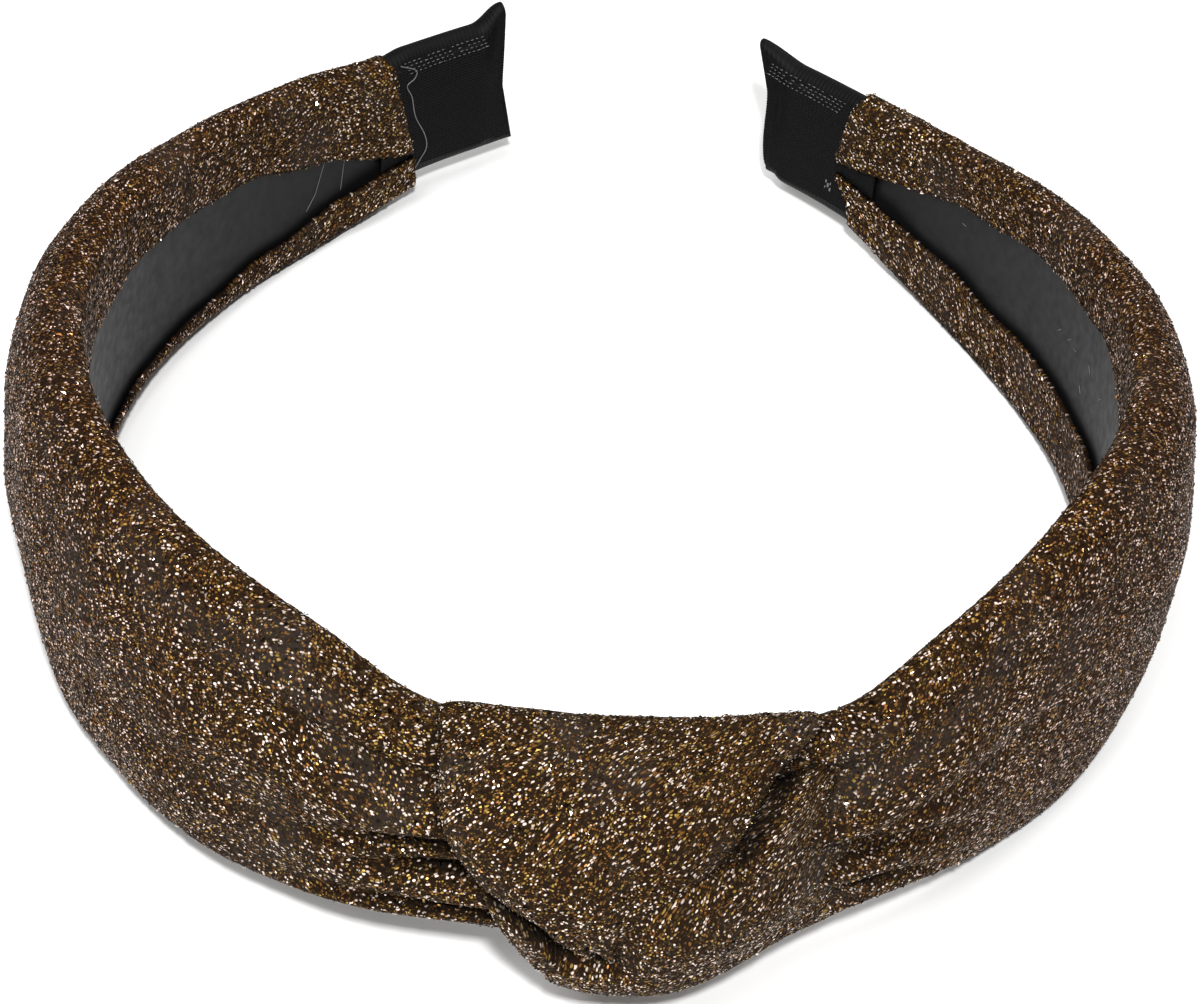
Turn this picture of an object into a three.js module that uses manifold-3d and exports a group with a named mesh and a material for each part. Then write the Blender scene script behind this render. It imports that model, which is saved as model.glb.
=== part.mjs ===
// A knotted fabric headband, lying on its side on a table, with the knot in front.
// It is a flexible plastic hoop, open at the back, with a puffy glitter-knit cover drawn over its outer
// face on each side and turned in over both edges, so that a lens of the hoop's grey inner face stays
// bare. A knot of the same cloth gathers the two covers in front, and a ribbon cap ends each arm.
// Millimetres. +Z is up, the knot is at -Y and the two tips point to +Y.

import * as THREE from "three";
import { mergeVertices } from "three/addons/utils/BufferGeometryUtils.js";
import Module from "manifold-3d";

// Hoop: its middle line in plan is three arcs on each side of the front centre.
const FRONT_RADIUS = 66;
const FRONT_SWEEP = 57;
const SIDE_RADIUS = 68;
const SIDE_SWEEP = 57;
const ARM_RADIUS = 105;
const ARM_SWEEP = 35;
const HOOP_THICKNESS = 2;
const HOOP_FRONT_HALF = 10;
const HOOP_SIDE_HALF = 14.6;
const HOOP_TIP_HALF = 9;
const LEFT_ARM_RISE = 1.6;
const RIGHT_ARM_RISE = 0.4;

// Glitter-knit cover: the greatest reach of its puffed section from the hoop's middle line.
const COVER_WALL = 1.2;
const COVER_TOP = 26.5;
const COVER_BOTTOM = 24.5;
const COVER_PUFF = 9.5;
const COVER_START = 0.6;
const PUFF_ROUNDNESS = 0.72;
const GATHER_WAVE = 0.7;
const GATHER_COUNT = 5;
const GATHER_LENGTH = 50;

// Ribbon caps on the two tips. Their corners are pulled out into small ears.
const RIBBON_WALL = 1;
const RIBBON_LENGTH = 16.5;
const RIBBON_TUCK = 5;
const EAR_LENGTH = 7;
const EAR_RISE = 2.6;
const EAR_REACH = 1.6;
const EAR_THINNING = 0.35;
const END_HOLLOW = 1;

// Knot: the wrap is the wide band of cloth that goes round hoop and covers, the fold comes out under it.
const KNOT_SHIFT = 7.5;
const WRAP_WALL = 1.6;
const WRAP_THICKNESS = 5;
const WRAP_HALF_WIDTH = 23.5;
const FOLD_THICKNESS = 5.8;

const SEAT_GAP = 0.3;
const TABLE_PRESS = 0.35;

const RADIANS = Math.PI / 180;
const LEFT = -1;
const RIGHT = 1;

const HOOP_ARCS = [
  { radius: FRONT_RADIUS, sweep: FRONT_SWEEP * RADIANS },
  { radius: SIDE_RADIUS, sweep: SIDE_SWEEP * RADIANS },
  { radius: ARM_RADIUS, sweep: ARM_SWEEP * RADIANS },
];
const HALF_ARC = HOOP_ARCS.reduce((sum, arc) => sum + arc.radius * arc.sweep, 0);

// Where the middle line is, a distance along it from the front centre, and how far it has turned.
function middleLine(distance) {
  let x = 0;
  let y = 0;
  let turned = 0;
  let left = Math.abs(distance);
  for (const arc of HOOP_ARCS) {
    const sweep = Math.min(left / arc.radius, arc.sweep);
    x += arc.radius * (Math.sin(turned + sweep) - Math.sin(turned));
    y += arc.radius * (Math.cos(turned) - Math.cos(turned + sweep));
    turned += sweep;
    left -= arc.radius * sweep;
  }
  return { x: x + left * Math.cos(turned), y: y + left * Math.sin(turned), turned };
}

const clamp = THREE.MathUtils.clamp;
const smooth = (value, from, to) => THREE.MathUtils.smoothstep(value, from, to);

// Each arm rises a little over its second half, most of it near the tip.
const ARM_RISES = { [LEFT]: LEFT_ARM_RISE, [RIGHT]: RIGHT_ARM_RISE };
const armRise = (side, at) => ARM_RISES[side] * clamp(2 * at - 1, 0, 1) ** 3;

// A point given along the middle line (negative to the left), outwards from it and up from it.
function place(along, out, up) {
  const { x, y, turned } = middleLine(along);
  const side = along < 0 ? LEFT : RIGHT;
  const height = up + armRise(side, Math.abs(along) / HALF_ARC);
  return new THREE.Vector3(side * (x + out * Math.sin(turned)), y - out * Math.cos(turned), height);
}

const spread = (count, make) => Array.from({ length: count + 1 }, (_, i) => make(i / count));

// A smooth blend of a table's rows, column by column. Rows are ordered by their column "at".
function rowAt(table, at) {
  const last = table.length - 1;
  const held = clamp(at, table[0].at, table[last].at);
  let i = 0;
  while (i < last - 1 && table[i + 1].at < held) {
    i += 1;
  }
  const span = table[i + 1].at - table[i].at;
  const u = (held - table[i].at) / span;
  const slope = (k, column) => {
    const before = table[Math.max(k - 1, 0)];
    const after = table[Math.min(k + 1, last)];
    return (after[column] - before[column]) / (after.at - before.at);
  };
  const row = {};
  for (const column of Object.keys(table[0])) {
    const a = table[i][column];
    const b = table[i + 1][column];
    const da = slope(i, column) * span;
    const db = slope(i + 1, column) * span;
    row[column] =
      a + u * da + u * u * (3 * (b - a) - 2 * da - db) + u * u * u * (da + db - 2 * (b - a));
  }
  return row;
}

// The hoop's half width, as shares of the named widths, from the front centre (0) to a tip (1).
const HOOP_WIDTHS = [
  { at: 0, front: 1, side: 0, tip: 0 },
  { at: 0.12, front: 0.95, side: 0.05, tip: 0 },
  { at: 0.4, front: 0, side: 1, tip: 0 },
  { at: 0.62, front: 0, side: 1, tip: 0 },
  { at: 0.82, front: 0, side: 0.52, tip: 0.48 },
  { at: 0.9, front: 0, side: 0.1, tip: 0.9 },
  { at: 1, front: 0, side: 0, tip: 1 },
];

function hoopHalfWidth(at) {
  const row = rowAt(HOOP_WIDTHS, at);
  return row.front * HOOP_FRONT_HALF + row.side * HOOP_SIDE_HALF + row.tip * HOOP_TIP_HALF;
}

// Cover sections: top and bottom reach and puff as shares of the greatest ones, and the turned-in hems
// as shares of the section's whole height. "at" is the share of the way from front centre to tip.
const COVER_SECTIONS = {
  [LEFT]: [
    { at: 0, top: 0.48, bottom: 0.8, puff: 0.8, topHem: 0.26, bottomHem: 0.26 },
    { at: 0.09, top: 0.49, bottom: 0.82, puff: 0.84, topHem: 0.26, bottomHem: 0.26 },
    { at: 0.15, top: 0.73, bottom: 0.91, puff: 0.92, topHem: 0.27, bottomHem: 0.25 },
    { at: 0.22, top: 0.87, bottom: 0.97, puff: 0.96, topHem: 0.28, bottomHem: 0.24 },
    { at: 0.36, top: 0.91, bottom: 1, puff: 0.92, topHem: 0.3, bottomHem: 0.22 },
    { at: 0.5, top: 0.78, bottom: 0.86, puff: 0.97, topHem: 0.3, bottomHem: 0.15 },
    { at: 0.62, top: 0.64, bottom: 0.68, puff: 1, topHem: 0.3, bottomHem: 0.08 },
    { at: 0.75, top: 0.55, bottom: 0.68, puff: 0.68, topHem: 0.34, bottomHem: 0.16 },
    { at: 0.84, top: 0.48, bottom: 0.62, puff: 0.45, topHem: 0.44, bottomHem: 0.25 },
    { at: 0.92, top: 0.43, bottom: 0.52, puff: 0.4, topHem: 0.68, bottomHem: 0.28 },
  ],
  [RIGHT]: [
    { at: 0, top: 0.48, bottom: 0.8, puff: 0.8, topHem: 0.26, bottomHem: 0.26 },
    { at: 0.165, top: 0.49, bottom: 0.81, puff: 0.8, topHem: 0.26, bottomHem: 0.26 },
    { at: 0.23, top: 0.7, bottom: 0.89, puff: 0.8, topHem: 0.28, bottomHem: 0.24 },
    { at: 0.36, top: 0.96, bottom: 1, puff: 0.82, topHem: 0.3, bottomHem: 0.22 },
    { at: 0.5, top: 0.88, bottom: 0.86, puff: 1, topHem: 0.26, bottomHem: 0.26 },
    { at: 0.62, top: 0.74, bottom: 0.77, puff: 1.02, topHem: 0.22, bottomHem: 0.32 },
    { at: 0.75, top: 0.59, bottom: 0.69, puff: 0.7, topHem: 0.22, bottomHem: 0.38 },
    { at: 0.84, top: 0.48, bottom: 0.56, puff: 0.47, topHem: 0.32, bottomHem: 0.42 },
    { at: 0.925, top: 0.43, bottom: 0.48, puff: 0.4, topHem: 0.5, bottomHem: 0.46 },
  ],
};

// Folds that run out from the knot along a cover: where each lies across the outer face (0 top edge,
// 1 bottom edge) at the knot and at its far end, its depth as a share of the puff, and its half width.
const COVER_FOLDS = {
  [LEFT]: [
    { near: 0.8, far: 0.88, depth: 0.3, wide: 0.055, start: 0, end: 0.46 },
    { near: 0.62, far: 0.55, depth: 0.1, wide: 0.07, start: 0, end: 0.3 },
    { near: 0.34, far: 0.26, depth: 0.08, wide: 0.08, start: 0, end: 0.3 },
  ],
  [RIGHT]: [
    { near: 0.76, far: 0.86, depth: 0.24, wide: 0.055, start: 0, end: 0.42 },
    { near: 0.5, far: 0.4, depth: 0.12, wide: 0.07, start: 0, end: 0.34 },
    { near: 0.24, far: 0.18, depth: 0.08, wide: 0.08, start: 0, end: 0.26 },
  ],
};

// A fold's valley throws up a lower ridge on its upper side. The ridge is given by shares of the
// valley: its height of the depth, its offset and its half width of the half width.
const RIDGE = { height: 0.35, offset: 2, wide: 1.4 };

// The most that relief lifts a cover's outer face.
function coverRidge() {
  const depths = [LEFT, RIGHT].flatMap((side) => COVER_FOLDS[side].map((fold) => fold.depth));
  return GATHER_WAVE + RIDGE.height * Math.max(...depths) * COVER_PUFF;
}

// How far a cover's folds and its gathers by the knot move its outer face in or out.
function foldRelief(side, at, across) {
  const bump = (offset, wide) => Math.exp(-((offset / wide) ** 2));
  let relief = 0;
  for (const fold of COVER_FOLDS[side]) {
    const run = clamp((at - fold.start) / (fold.end - fold.start), 0, 1);
    const offset = across - THREE.MathUtils.lerp(fold.near, fold.far, run);
    const valley = bump(offset, fold.wide);
    const ridge = bump(offset + RIDGE.offset * fold.wide, RIDGE.wide * fold.wide);
    const fade = 1 - smooth(run, 0.35, 1);
    relief -= fold.depth * COVER_PUFF * fade * (valley - RIDGE.height * ridge);
  }
  const gather = 1 - smooth(at * HALF_ARC, 0.4 * GATHER_LENGTH, GATHER_LENGTH);
  const edges = Math.sin(Math.PI * clamp(across, 0, 1));
  return relief + GATHER_WAVE * gather * edges * Math.cos(2 * Math.PI * GATHER_COUNT * across);
}

// How far the cover's turned-in hems stand off the hoop: one ribbon further out over a ribbon's tuck.
function hemSeat(at) {
  const toTuck = HALF_ARC - RIBBON_LENGTH - RIBBON_TUCK - at * HALF_ARC;
  const step = 1 - smooth(toTuck, 0.4 * RIBBON_TUCK, 1.6 * RIBBON_TUCK);
  return HOOP_THICKNESS / 2 + SEAT_GAP + step * (RIBBON_WALL + SEAT_GAP);
}

// The reaches of a cover's section, in millimetres. The cloth never lies inside the hoop or ribbon.
function coverSize(side, at) {
  const row = rowAt(COVER_SECTIONS[side], at);
  const seat = hemSeat(at);
  const least = hoopHalfWidth(at) + seat - HOOP_THICKNESS / 2 + COVER_WALL;
  const top = Math.max(row.top * COVER_TOP, least);
  const bottom = Math.max(row.bottom * COVER_BOTTOM, least);
  const puff = Math.max(row.puff * COVER_PUFF, seat + COVER_WALL);
  return { top, bottom, puff, seat, height: top + bottom, topHem: row.topHem, bottomHem: row.bottomHem };
}

// How far out the rounded section of a strip reaches at a height, once it is grown to a radius.
function stripReach(halfWidth, radius, up) {
  const past = Math.max(Math.abs(up) - (halfWidth - HOOP_THICKNESS / 2), 0);
  return past < radius ? Math.sqrt(radius ** 2 - past ** 2) : 0;
}

// The outer line of a cover's section, from the free edge of the top hem, over the top edge, down the
// puffed face, and round the bottom edge to the free edge of the bottom hem, as [out, up] pairs.
const FACE_STEPS = 20;
const HEM_STEPS = 2;
const TURN_STEPS = 3;
function coverLine(side, at) {
  const size = coverSize(side, at);
  const radius = size.seat + COVER_WALL;
  const line = [];
  const hem = (from, to) => spread(HEM_STEPS, (u) => [-radius, THREE.MathUtils.lerp(from, to, u)]);
  const turn = (i) => (i / TURN_STEPS) * 90 * RADIANS;
  line.push(...hem(size.top - size.topHem * size.height, size.top - radius));
  for (let i = 1; i < TURN_STEPS; i += 1) {
    line.push([-radius * Math.cos(turn(i)), size.top - radius * (1 - Math.sin(turn(i)))]);
  }
  const middle = (size.top - size.bottom) / 2;
  for (let i = 0; i <= FACE_STEPS; i += 1) {
    const across = i / FACE_STEPS;
    const angle = (0.5 - across) * Math.PI;
    const full = Math.abs(Math.cos(angle)) ** PUFF_ROUNDNESS;
    const relief = foldRelief(side, at, across) * Math.min(1, 2 * full);
    const up = middle + (size.height / 2) * Math.sin(angle);
    const snug = stripReach(hoopHalfWidth(at), radius, up);
    line.push([Math.max(full * size.puff + relief, snug), up]);
  }
  for (let i = TURN_STEPS - 1; i > 0; i -= 1) {
    line.push([-radius * Math.cos(turn(i)), radius * (1 - Math.sin(turn(i))) - size.bottom]);
  }
  line.push(...hem(radius - size.bottom, size.bottomHem * size.height - size.bottom));
  return line;
}

// The same line, moved into the cloth by its wall. Each point moves square to its neighbours' line.
function insetLine(line, wall) {
  return line.map(([out, up], i) => {
    const before = line[Math.max(i - 1, 0)];
    const after = line[Math.min(i + 1, line.length - 1)];
    const run = new THREE.Vector2(after[0] - before[0], after[1] - before[1]).normalize();
    return [out + wall * run.y, up - wall * run.x];
  });
}

// Triangles for a closed surface. A face's corners turn the right way once the volume is positive.
function solidFrom(points, faces) {
  const geometry = new THREE.BufferGeometry();
  let volume = 0;
  for (const [a, b, c] of faces) {
    volume += points[a].dot(new THREE.Vector3().crossVectors(points[b], points[c]));
  }
  const index = faces.flatMap(([a, b, c]) => (volume < 0 ? [a, c, b] : [a, b, c]));
  geometry.setFromPoints(points);
  geometry.setIndex(index);
  return geometry;
}

const wasm = await Module();
wasm.setup();

function toSolid(geometry) {
  const merged = mergeVertices(geometry);
  const vertProperties = new Float32Array(merged.getAttribute("position").array);
  const triVerts = new Uint32Array(merged.getIndex().array);
  return new wasm.Manifold(new wasm.Mesh({ numProp: 3, vertProperties, triVerts }));
}

function toGeometry(solid) {
  const { vertProperties, triVerts } = solid.getMesh();
  const geometry = new THREE.BufferGeometry();
  geometry.setAttribute("position", new THREE.BufferAttribute(vertProperties, 3));
  geometry.setIndex(new THREE.BufferAttribute(triVerts, 1));
  return geometry;
}

// A wall between two sheets of points with the same rows and columns. A looped wall's rows close.
function wallBetween(outer, inner, looped = false) {
  const rows = outer.length;
  const columns = outer[0].length;
  const points = [...outer.flat(), ...inner.flat()];
  const faces = [];
  const front = (i, j) => (i % rows) * columns + j;
  const back = (i, j) => rows * columns + (i % rows) * columns + j;
  const quad = (a, b, c, d) => faces.push([a, b, c], [a, c, d]);
  const strips = looped ? rows : rows - 1;
  for (let i = 0; i < strips; i += 1) {
    for (let j = 0; j < columns - 1; j += 1) {
      quad(front(i, j), front(i, j + 1), front(i + 1, j + 1), front(i + 1, j));
      quad(back(i, j), back(i + 1, j), back(i + 1, j + 1), back(i, j + 1));
    }
    quad(front(i, 0), front(i + 1, 0), back(i + 1, 0), back(i, 0));
    const end = columns - 1;
    quad(front(i, end), back(i, end), back(i + 1, end), front(i + 1, end));
  }
  for (let j = 0; !looped && j < columns - 1; j += 1) {
    const end = rows - 1;
    quad(front(0, j), back(0, j), back(0, j + 1), front(0, j + 1));
    quad(front(end, j), front(end, j + 1), back(end, j + 1), back(end, j));
  }
  return solidFrom(points, faces);
}

// A closed body through rings of points, with a fan of triangles over the first and the last ring.
function bodyThrough(rings) {
  const size = rings[0].length;
  const points = rings.flat();
  const faces = [];
  for (let i = 0; i < rings.length - 1; i += 1) {
    for (let j = 0; j < size; j += 1) {
      const next = (j + 1) % size;
      const [a, b] = [i * size + j, i * size + next];
      faces.push([a, b, b + size], [a, b + size, a + size]);
    }
  }
  for (const [ring, first] of [[rings[0], 0], [rings.at(-1), points.length - size]]) {
    const middle = ring.reduce((sum, p) => sum.add(p), new THREE.Vector3()).divideScalar(size);
    points.push(middle);
    for (let j = 0; j < size; j += 1) {
      const next = (j + 1) % size;
      const face = [points.length - 1, first + j, first + next];
      faces.push(first === 0 ? face.reverse() : face);
    }
  }
  return solidFrom(points, faces);
}

// A flat strip's section with rounded long edges, as [out, up] pairs.
function stripRing(halfThickness, top, bottom) {
  const round = halfThickness;
  const arc = (up, from) =>
    [0, 0.5, 1].map((u) => {
      const angle = (from + u * 180) * RADIANS;
      return [halfThickness * Math.cos(angle), up + round * Math.sin(angle)];
    });
  return [...arc(top - round, 0), ...arc(round - bottom, 180)];
}

const HOOP_STEPS = 44;
function hoopGeometry() {
  const rings = spread(HOOP_STEPS, (u) => {
    const along = (2 * u - 1) * (HALF_ARC - RIBBON_WALL - SEAT_GAP - END_HOLLOW);
    const half = hoopHalfWidth(Math.abs(along) / HALF_ARC);
    return stripRing(HOOP_THICKNESS / 2, half, half).map(([out, up]) => place(along, out, up));
  });
  return bodyThrough(rings);
}

// The table touches the covers where they reach lowest, in front, and whatever stands lowest behind.
const FRONT_FOOT = 0.34;
const REAR_FROM = 0.6;
const frontFoot = middleLine(FRONT_FOOT * HALF_ARC);
const FRONT_DROP = COVER_BOTTOM - TABLE_PRESS;
function leanSlope() {
  const slopes = [LEFT, RIGHT].flatMap((side) =>
    spread(40, (u) => {
      const at = THREE.MathUtils.lerp(REAR_FROM, 1, u);
      const drop = coverSize(side, at).bottom - armRise(side, at) - TABLE_PRESS;
      return (FRONT_DROP - drop) / (middleLine(at * HALF_ARC).y - frontFoot.y);
    }));
  return Math.min(...slopes);
}
const LEAN = Math.atan(leanSlope());

// The cloth is flat where it lies on the table.
function onTable(point) {
  point.z = Math.max(point.z, (point.y - frontFoot.y) * Math.tan(LEAN) - FRONT_DROP);
  return point;
}

const COVER_STEPS = 22;
function coverGeometry(side) {
  const end = COVER_SECTIONS[side].at(-1).at;
  const start = COVER_START / HALF_ARC;
  const outer = [];
  const inner = [];
  for (let i = 0; i <= COVER_STEPS; i += 1) {
    const at = THREE.MathUtils.lerp(start, end, i / COVER_STEPS);
    const line = coverLine(side, at);
    const along = side * at * HALF_ARC;
    outer.push(line.map(([out, up]) => onTable(place(along, out, up))));
    inner.push(insetLine(line, COVER_WALL).map(([out, up]) => place(along, out, up)));
  }
  return wallBetween(outer, inner);
}

// A ribbon cap: a pocket over the hoop's tip, its closed end hollowed and its corners pulled out.
const CAP_CORNERS = {
  [LEFT]: { topRise: 1, bottomRise: 0.1, topReach: 0.2, bottomReach: 1 },
  [RIGHT]: { topRise: 0.7, bottomRise: 0.1, topReach: 1, bottomReach: -0.6 },
};
const RIBBON_STEPS = 6;
function ribbonGeometry(side) {
  const corners = CAP_CORNERS[side];
  const open = HALF_ARC - RIBBON_LENGTH - RIBBON_TUCK;
  const pocketEnd = HALF_ARC - RIBBON_WALL - END_HOLLOW;
  const ring = (along, wall, ear) => {
    const half = hoopHalfWidth(along / HALF_ARC) + SEAT_GAP + wall;
    const thick = (HOOP_THICKNESS / 2 + SEAT_GAP + wall) * (1 - EAR_THINNING * ear);
    const top = half + ear * EAR_RISE * corners.topRise;
    const bottom = half + ear * EAR_RISE * corners.bottomRise;
    return stripRing(thick, top, bottom).map(([out, up]) => {
      const [edge, reach] = up > 0 ? [up / top, corners.topReach] : [-up / bottom, corners.bottomReach];
      const hollow = END_HOLLOW * (1 - edge ** 3) - EAR_REACH * reach * edge ** 3;
      return place(side * (along - ear * hollow), out, up);
    });
  };
  const pocket = spread(RIBBON_STEPS, (u) => ring(THREE.MathUtils.lerp(pocketEnd, open, u), 0, 0));
  const outside = spread(2 * RIBBON_STEPS, (u) => {
    const along = THREE.MathUtils.lerp(open, HALF_ARC, u);
    return ring(along, RIBBON_WALL, smooth(along, HALF_ARC - EAR_LENGTH, HALF_ARC));
  });
  return bodyThrough([...pocket, ...outside]);
}

// Both parts of the knot are bands that lie round the gathered covers. "at" is where a row is on its
// way round, in degrees: 0 in front, 90 at the top edge, 180 inside the hoop and 270 at the bottom edge.
// left and right are the band's edges and thick its thickness, as shares of the named sizes.
const WRAP_TURNS = [
  { at: -90, left: 0.3, right: 0.1, thick: 0.6 },
  { at: -60, left: 0.32, right: 0, thick: 0.8 },
  { at: -30, left: 0.42, right: 0.04, thick: 0.95 },
  { at: 0, left: 0.66, right: 0.24, thick: 1 },
  { at: 27, left: 0.82, right: 0.45, thick: 0.9 },
  { at: 60, left: 0.88, right: 0.66, thick: 0.65 },
  { at: 80, left: 0.93, right: 0.86, thick: 0.45 },
  { at: 100, left: 0.9, right: 0.9, thick: 0.4 },
  { at: 150, left: 0.66, right: 0.6, thick: 0.32 },
  { at: 210, left: 0.5, right: 0.4, thick: 0.32 },
  { at: 250, left: 0.34, right: 0.2, thick: 0.4 },
  { at: 270, left: 0.3, right: 0.1, thick: 0.6 },
];
const FOLD_TURNS = [
  { at: -128, left: 0.3, right: 0.28, thick: 0.4 },
  { at: -105, left: 0.36, right: 0.32, thick: 0.8 },
  { at: -85, left: 0.38, right: 0.38, thick: 1.05 },
  { at: -65, left: 0.3, right: 0.54, thick: 1.1 },
  { at: -45, left: 0.1, right: 0.74, thick: 0.95 },
  { at: -20, left: -0.1, right: 0.92, thick: 0.7 },
  { at: 5, left: -0.24, right: 1, thick: 0.5 },
  { at: 25, left: -0.44, right: 0.98, thick: 0.35 },
  { at: 50, left: -0.62, right: 0.9, thick: 0.28 },
];

// The section round the covers, grown evenly, at a turn and a distance along the hoop: [out, up].
function aroundCovers(turn, along, grow) {
  const size = coverSize(along < 0 ? LEFT : RIGHT, Math.abs(along) / HALF_ARC);
  const back = size.seat + COVER_WALL + grow;
  const front = size.puff + coverRidge() + grow;
  const top = size.top + grow;
  const bottom = size.bottom + grow;
  if (turn > 90 && turn < 135) {
    const angle = 2 * (turn - 90) * RADIANS;
    return [-back * Math.sin(angle), top - back * (1 - Math.cos(angle))];
  }
  if (turn >= 135 && turn <= 225) {
    return [-back, THREE.MathUtils.lerp(top - back, back - bottom, (turn - 135) / 90)];
  }
  if (turn > 225 || turn < -90) {
    const angle = 2 * (turn > 0 ? turn - 225 : turn + 135) * RADIANS;
    return [-back * Math.cos(angle), back * (1 - Math.sin(angle)) - bottom];
  }
  const full = Math.abs(Math.cos(turn * RADIANS)) ** PUFF_ROUNDNESS;
  return [full * front, (top - bottom + (top + bottom) * Math.sin(turn * RADIANS)) / 2];
}

// The outer and inner sheets of a band of the knot, pillowed across its width. margin moves every
// face of it outwards, for the room that a neighbour leaves.
const BAND_ACROSS = 8;
function bandSheets(table, turns, thickness, margin) {
  const outer = [];
  const inner = [];
  for (const turn of turns) {
    const row = rowAt(table, turn);
    const left = KNOT_SHIFT - row.left * WRAP_HALF_WIDTH - margin;
    const right = KNOT_SHIFT + row.right * WRAP_HALF_WIDTH + margin;
    const cells = spread(BAND_ACROSS, (across) => {
      const along = THREE.MathUtils.lerp(left, right, across);
      const pillow = Math.sin(Math.PI * across) ** 0.5;
      const thick = Math.max(WRAP_WALL, row.thick * thickness * pillow);
      const near = aroundCovers(turn, along, SEAT_GAP - margin);
      const far = aroundCovers(turn, along, SEAT_GAP + thick + margin);
      return { near: place(along, ...near), far: place(along, ...far) };
    });
    outer.push(cells.map((cell) => cell.far));
    inner.push(cells.map((cell) => cell.near));
  }
  return [outer, inner];
}

const WRAP_AROUND = 40;
function wrapGeometry(margin = 0) {
  const turns = Array.from({ length: WRAP_AROUND }, (_, i) => (360 * i) / WRAP_AROUND - 90);
  return wallBetween(...bandSheets(WRAP_TURNS, turns, WRAP_THICKNESS, margin), true);
}

const FOLD_AROUND = 17;
function foldGeometry() {
  const [first, last] = [FOLD_TURNS[0].at, FOLD_TURNS.at(-1).at];
  const turns = spread(FOLD_AROUND, (u) => THREE.MathUtils.lerp(first, last, u));
  const roll = toSolid(wallBetween(...bandSheets(FOLD_TURNS, turns, FOLD_THICKNESS, 0)));
  const pieces = roll.subtract(toSolid(wrapGeometry(SEAT_GAP))).decompose();
  return toGeometry(pieces.sort((a, b) => b.volume() - a.volume())[0]);
}

const GLITTER_KNIT = { color: 0x6b533c, roughness: 0.45, metalness: 0.35 };
const BLACK_RIBBON = { color: 0x1c1c1c, roughness: 0.7, metalness: 0 };
const GREY_PLASTIC = { color: 0x3c3c3c, roughness: 0.5, metalness: 0 };

const hoopFrame = new THREE.Group();
function add(name, geometry, finish) {
  const mesh = new THREE.Mesh(geometry, new THREE.MeshStandardMaterial(finish));
  mesh.name = name;
  hoopFrame.add(mesh);
}

add("hoop", hoopGeometry(), GREY_PLASTIC);
add("cover_left", coverGeometry(LEFT), GLITTER_KNIT);
add("cover_right", coverGeometry(RIGHT), GLITTER_KNIT);
add("ribbon_cap_left", ribbonGeometry(LEFT), BLACK_RIBBON);
add("ribbon_cap_right", ribbonGeometry(RIGHT), BLACK_RIBBON);
add("knot_wrap", wrapGeometry(), GLITTER_KNIT);
add("knot_fold", foldGeometry(), GLITTER_KNIT);

// The hoop leans back until covers and tips both touch the table, and stands over the origin.
hoopFrame.rotation.x = -LEAN;
const headband = new THREE.Group();
headband.add(hoopFrame);
const bounds = new THREE.Box3().setFromObject(headband, true);
const centre = bounds.getCenter(new THREE.Vector3());
hoopFrame.position.set(-centre.x, -centre.y, -bounds.min.z);

export default headband;
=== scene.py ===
"""A knot headband in glitter knit: a grey hoop, two puffed covers, a knot in front and ribbon tips."""

import math

import bpy
import numpy as np
from bpy.props import FloatProperty, FloatVectorProperty, IntProperty, PointerProperty
from mathutils import Matrix, Vector


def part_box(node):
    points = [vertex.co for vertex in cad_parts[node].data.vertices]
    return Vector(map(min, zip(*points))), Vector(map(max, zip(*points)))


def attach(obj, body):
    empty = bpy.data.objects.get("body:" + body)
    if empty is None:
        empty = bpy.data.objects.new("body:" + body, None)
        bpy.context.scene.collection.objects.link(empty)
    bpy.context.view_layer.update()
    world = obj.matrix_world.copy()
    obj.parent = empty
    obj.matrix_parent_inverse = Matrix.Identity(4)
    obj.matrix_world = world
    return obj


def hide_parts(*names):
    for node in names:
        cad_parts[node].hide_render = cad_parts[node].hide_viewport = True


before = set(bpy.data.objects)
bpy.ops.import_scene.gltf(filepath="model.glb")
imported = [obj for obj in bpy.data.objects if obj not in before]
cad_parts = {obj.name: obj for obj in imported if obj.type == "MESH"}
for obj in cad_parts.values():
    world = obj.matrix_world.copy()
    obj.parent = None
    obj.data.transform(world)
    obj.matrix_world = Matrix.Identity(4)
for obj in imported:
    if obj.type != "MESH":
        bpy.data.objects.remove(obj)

bl_info = {
    "name": "Knot headband",
    "version": (1, 0, 0),
    "blender": (4, 5, 0),
    "location": "View3D > Sidebar > Headband",
    "description": "Dresses the solids of a knot headband in glitter knit, ribbon and plastic",
    "category": "Object",
}

MM = 0.001
LEFT = -1
RIGHT = 1
SIDE_NAMES = {LEFT: "left", RIGHT: "right"}

# Hoop, in millimetres. Its middle line in plan is three arcs on each side of the front centre.
HOOP_ARCS = ((66.0, math.radians(57)), (68.0, math.radians(57)), (105.0, math.radians(35)))
HALF_ARC = sum(radius * sweep for radius, sweep in HOOP_ARCS)
HOOP_THICKNESS = 2.0
HOOP_FRONT_HALF = 10.0
HOOP_SIDE_HALF = 14.6
HOOP_TIP_HALF = 9.0
ARM_RISES = {LEFT: 1.6, RIGHT: 0.4}

# Covers: the cloth's thickness, and the greatest reaches of the puffed section from the hoop's middle line.
CLOTH_WALL = 0.7
COVER_TOP = 26.5
COVER_BOTTOM = 24.5
COVER_PUFF = 9.5
COVER_START = 0.6
PUFF_ROUNDNESS = 0.72
GATHER_WAVE = 0.7
GATHER_COUNT = 5
GATHER_LENGTH = 50.0
HEM_WANDER = 0.5
HEM_WANDER_SIZE = 14
HEM_WANDER_FADES = (0.78, 0.88)
FACE_WANDER = 0.22
FACE_WANDER_SIZE = 17

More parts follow.
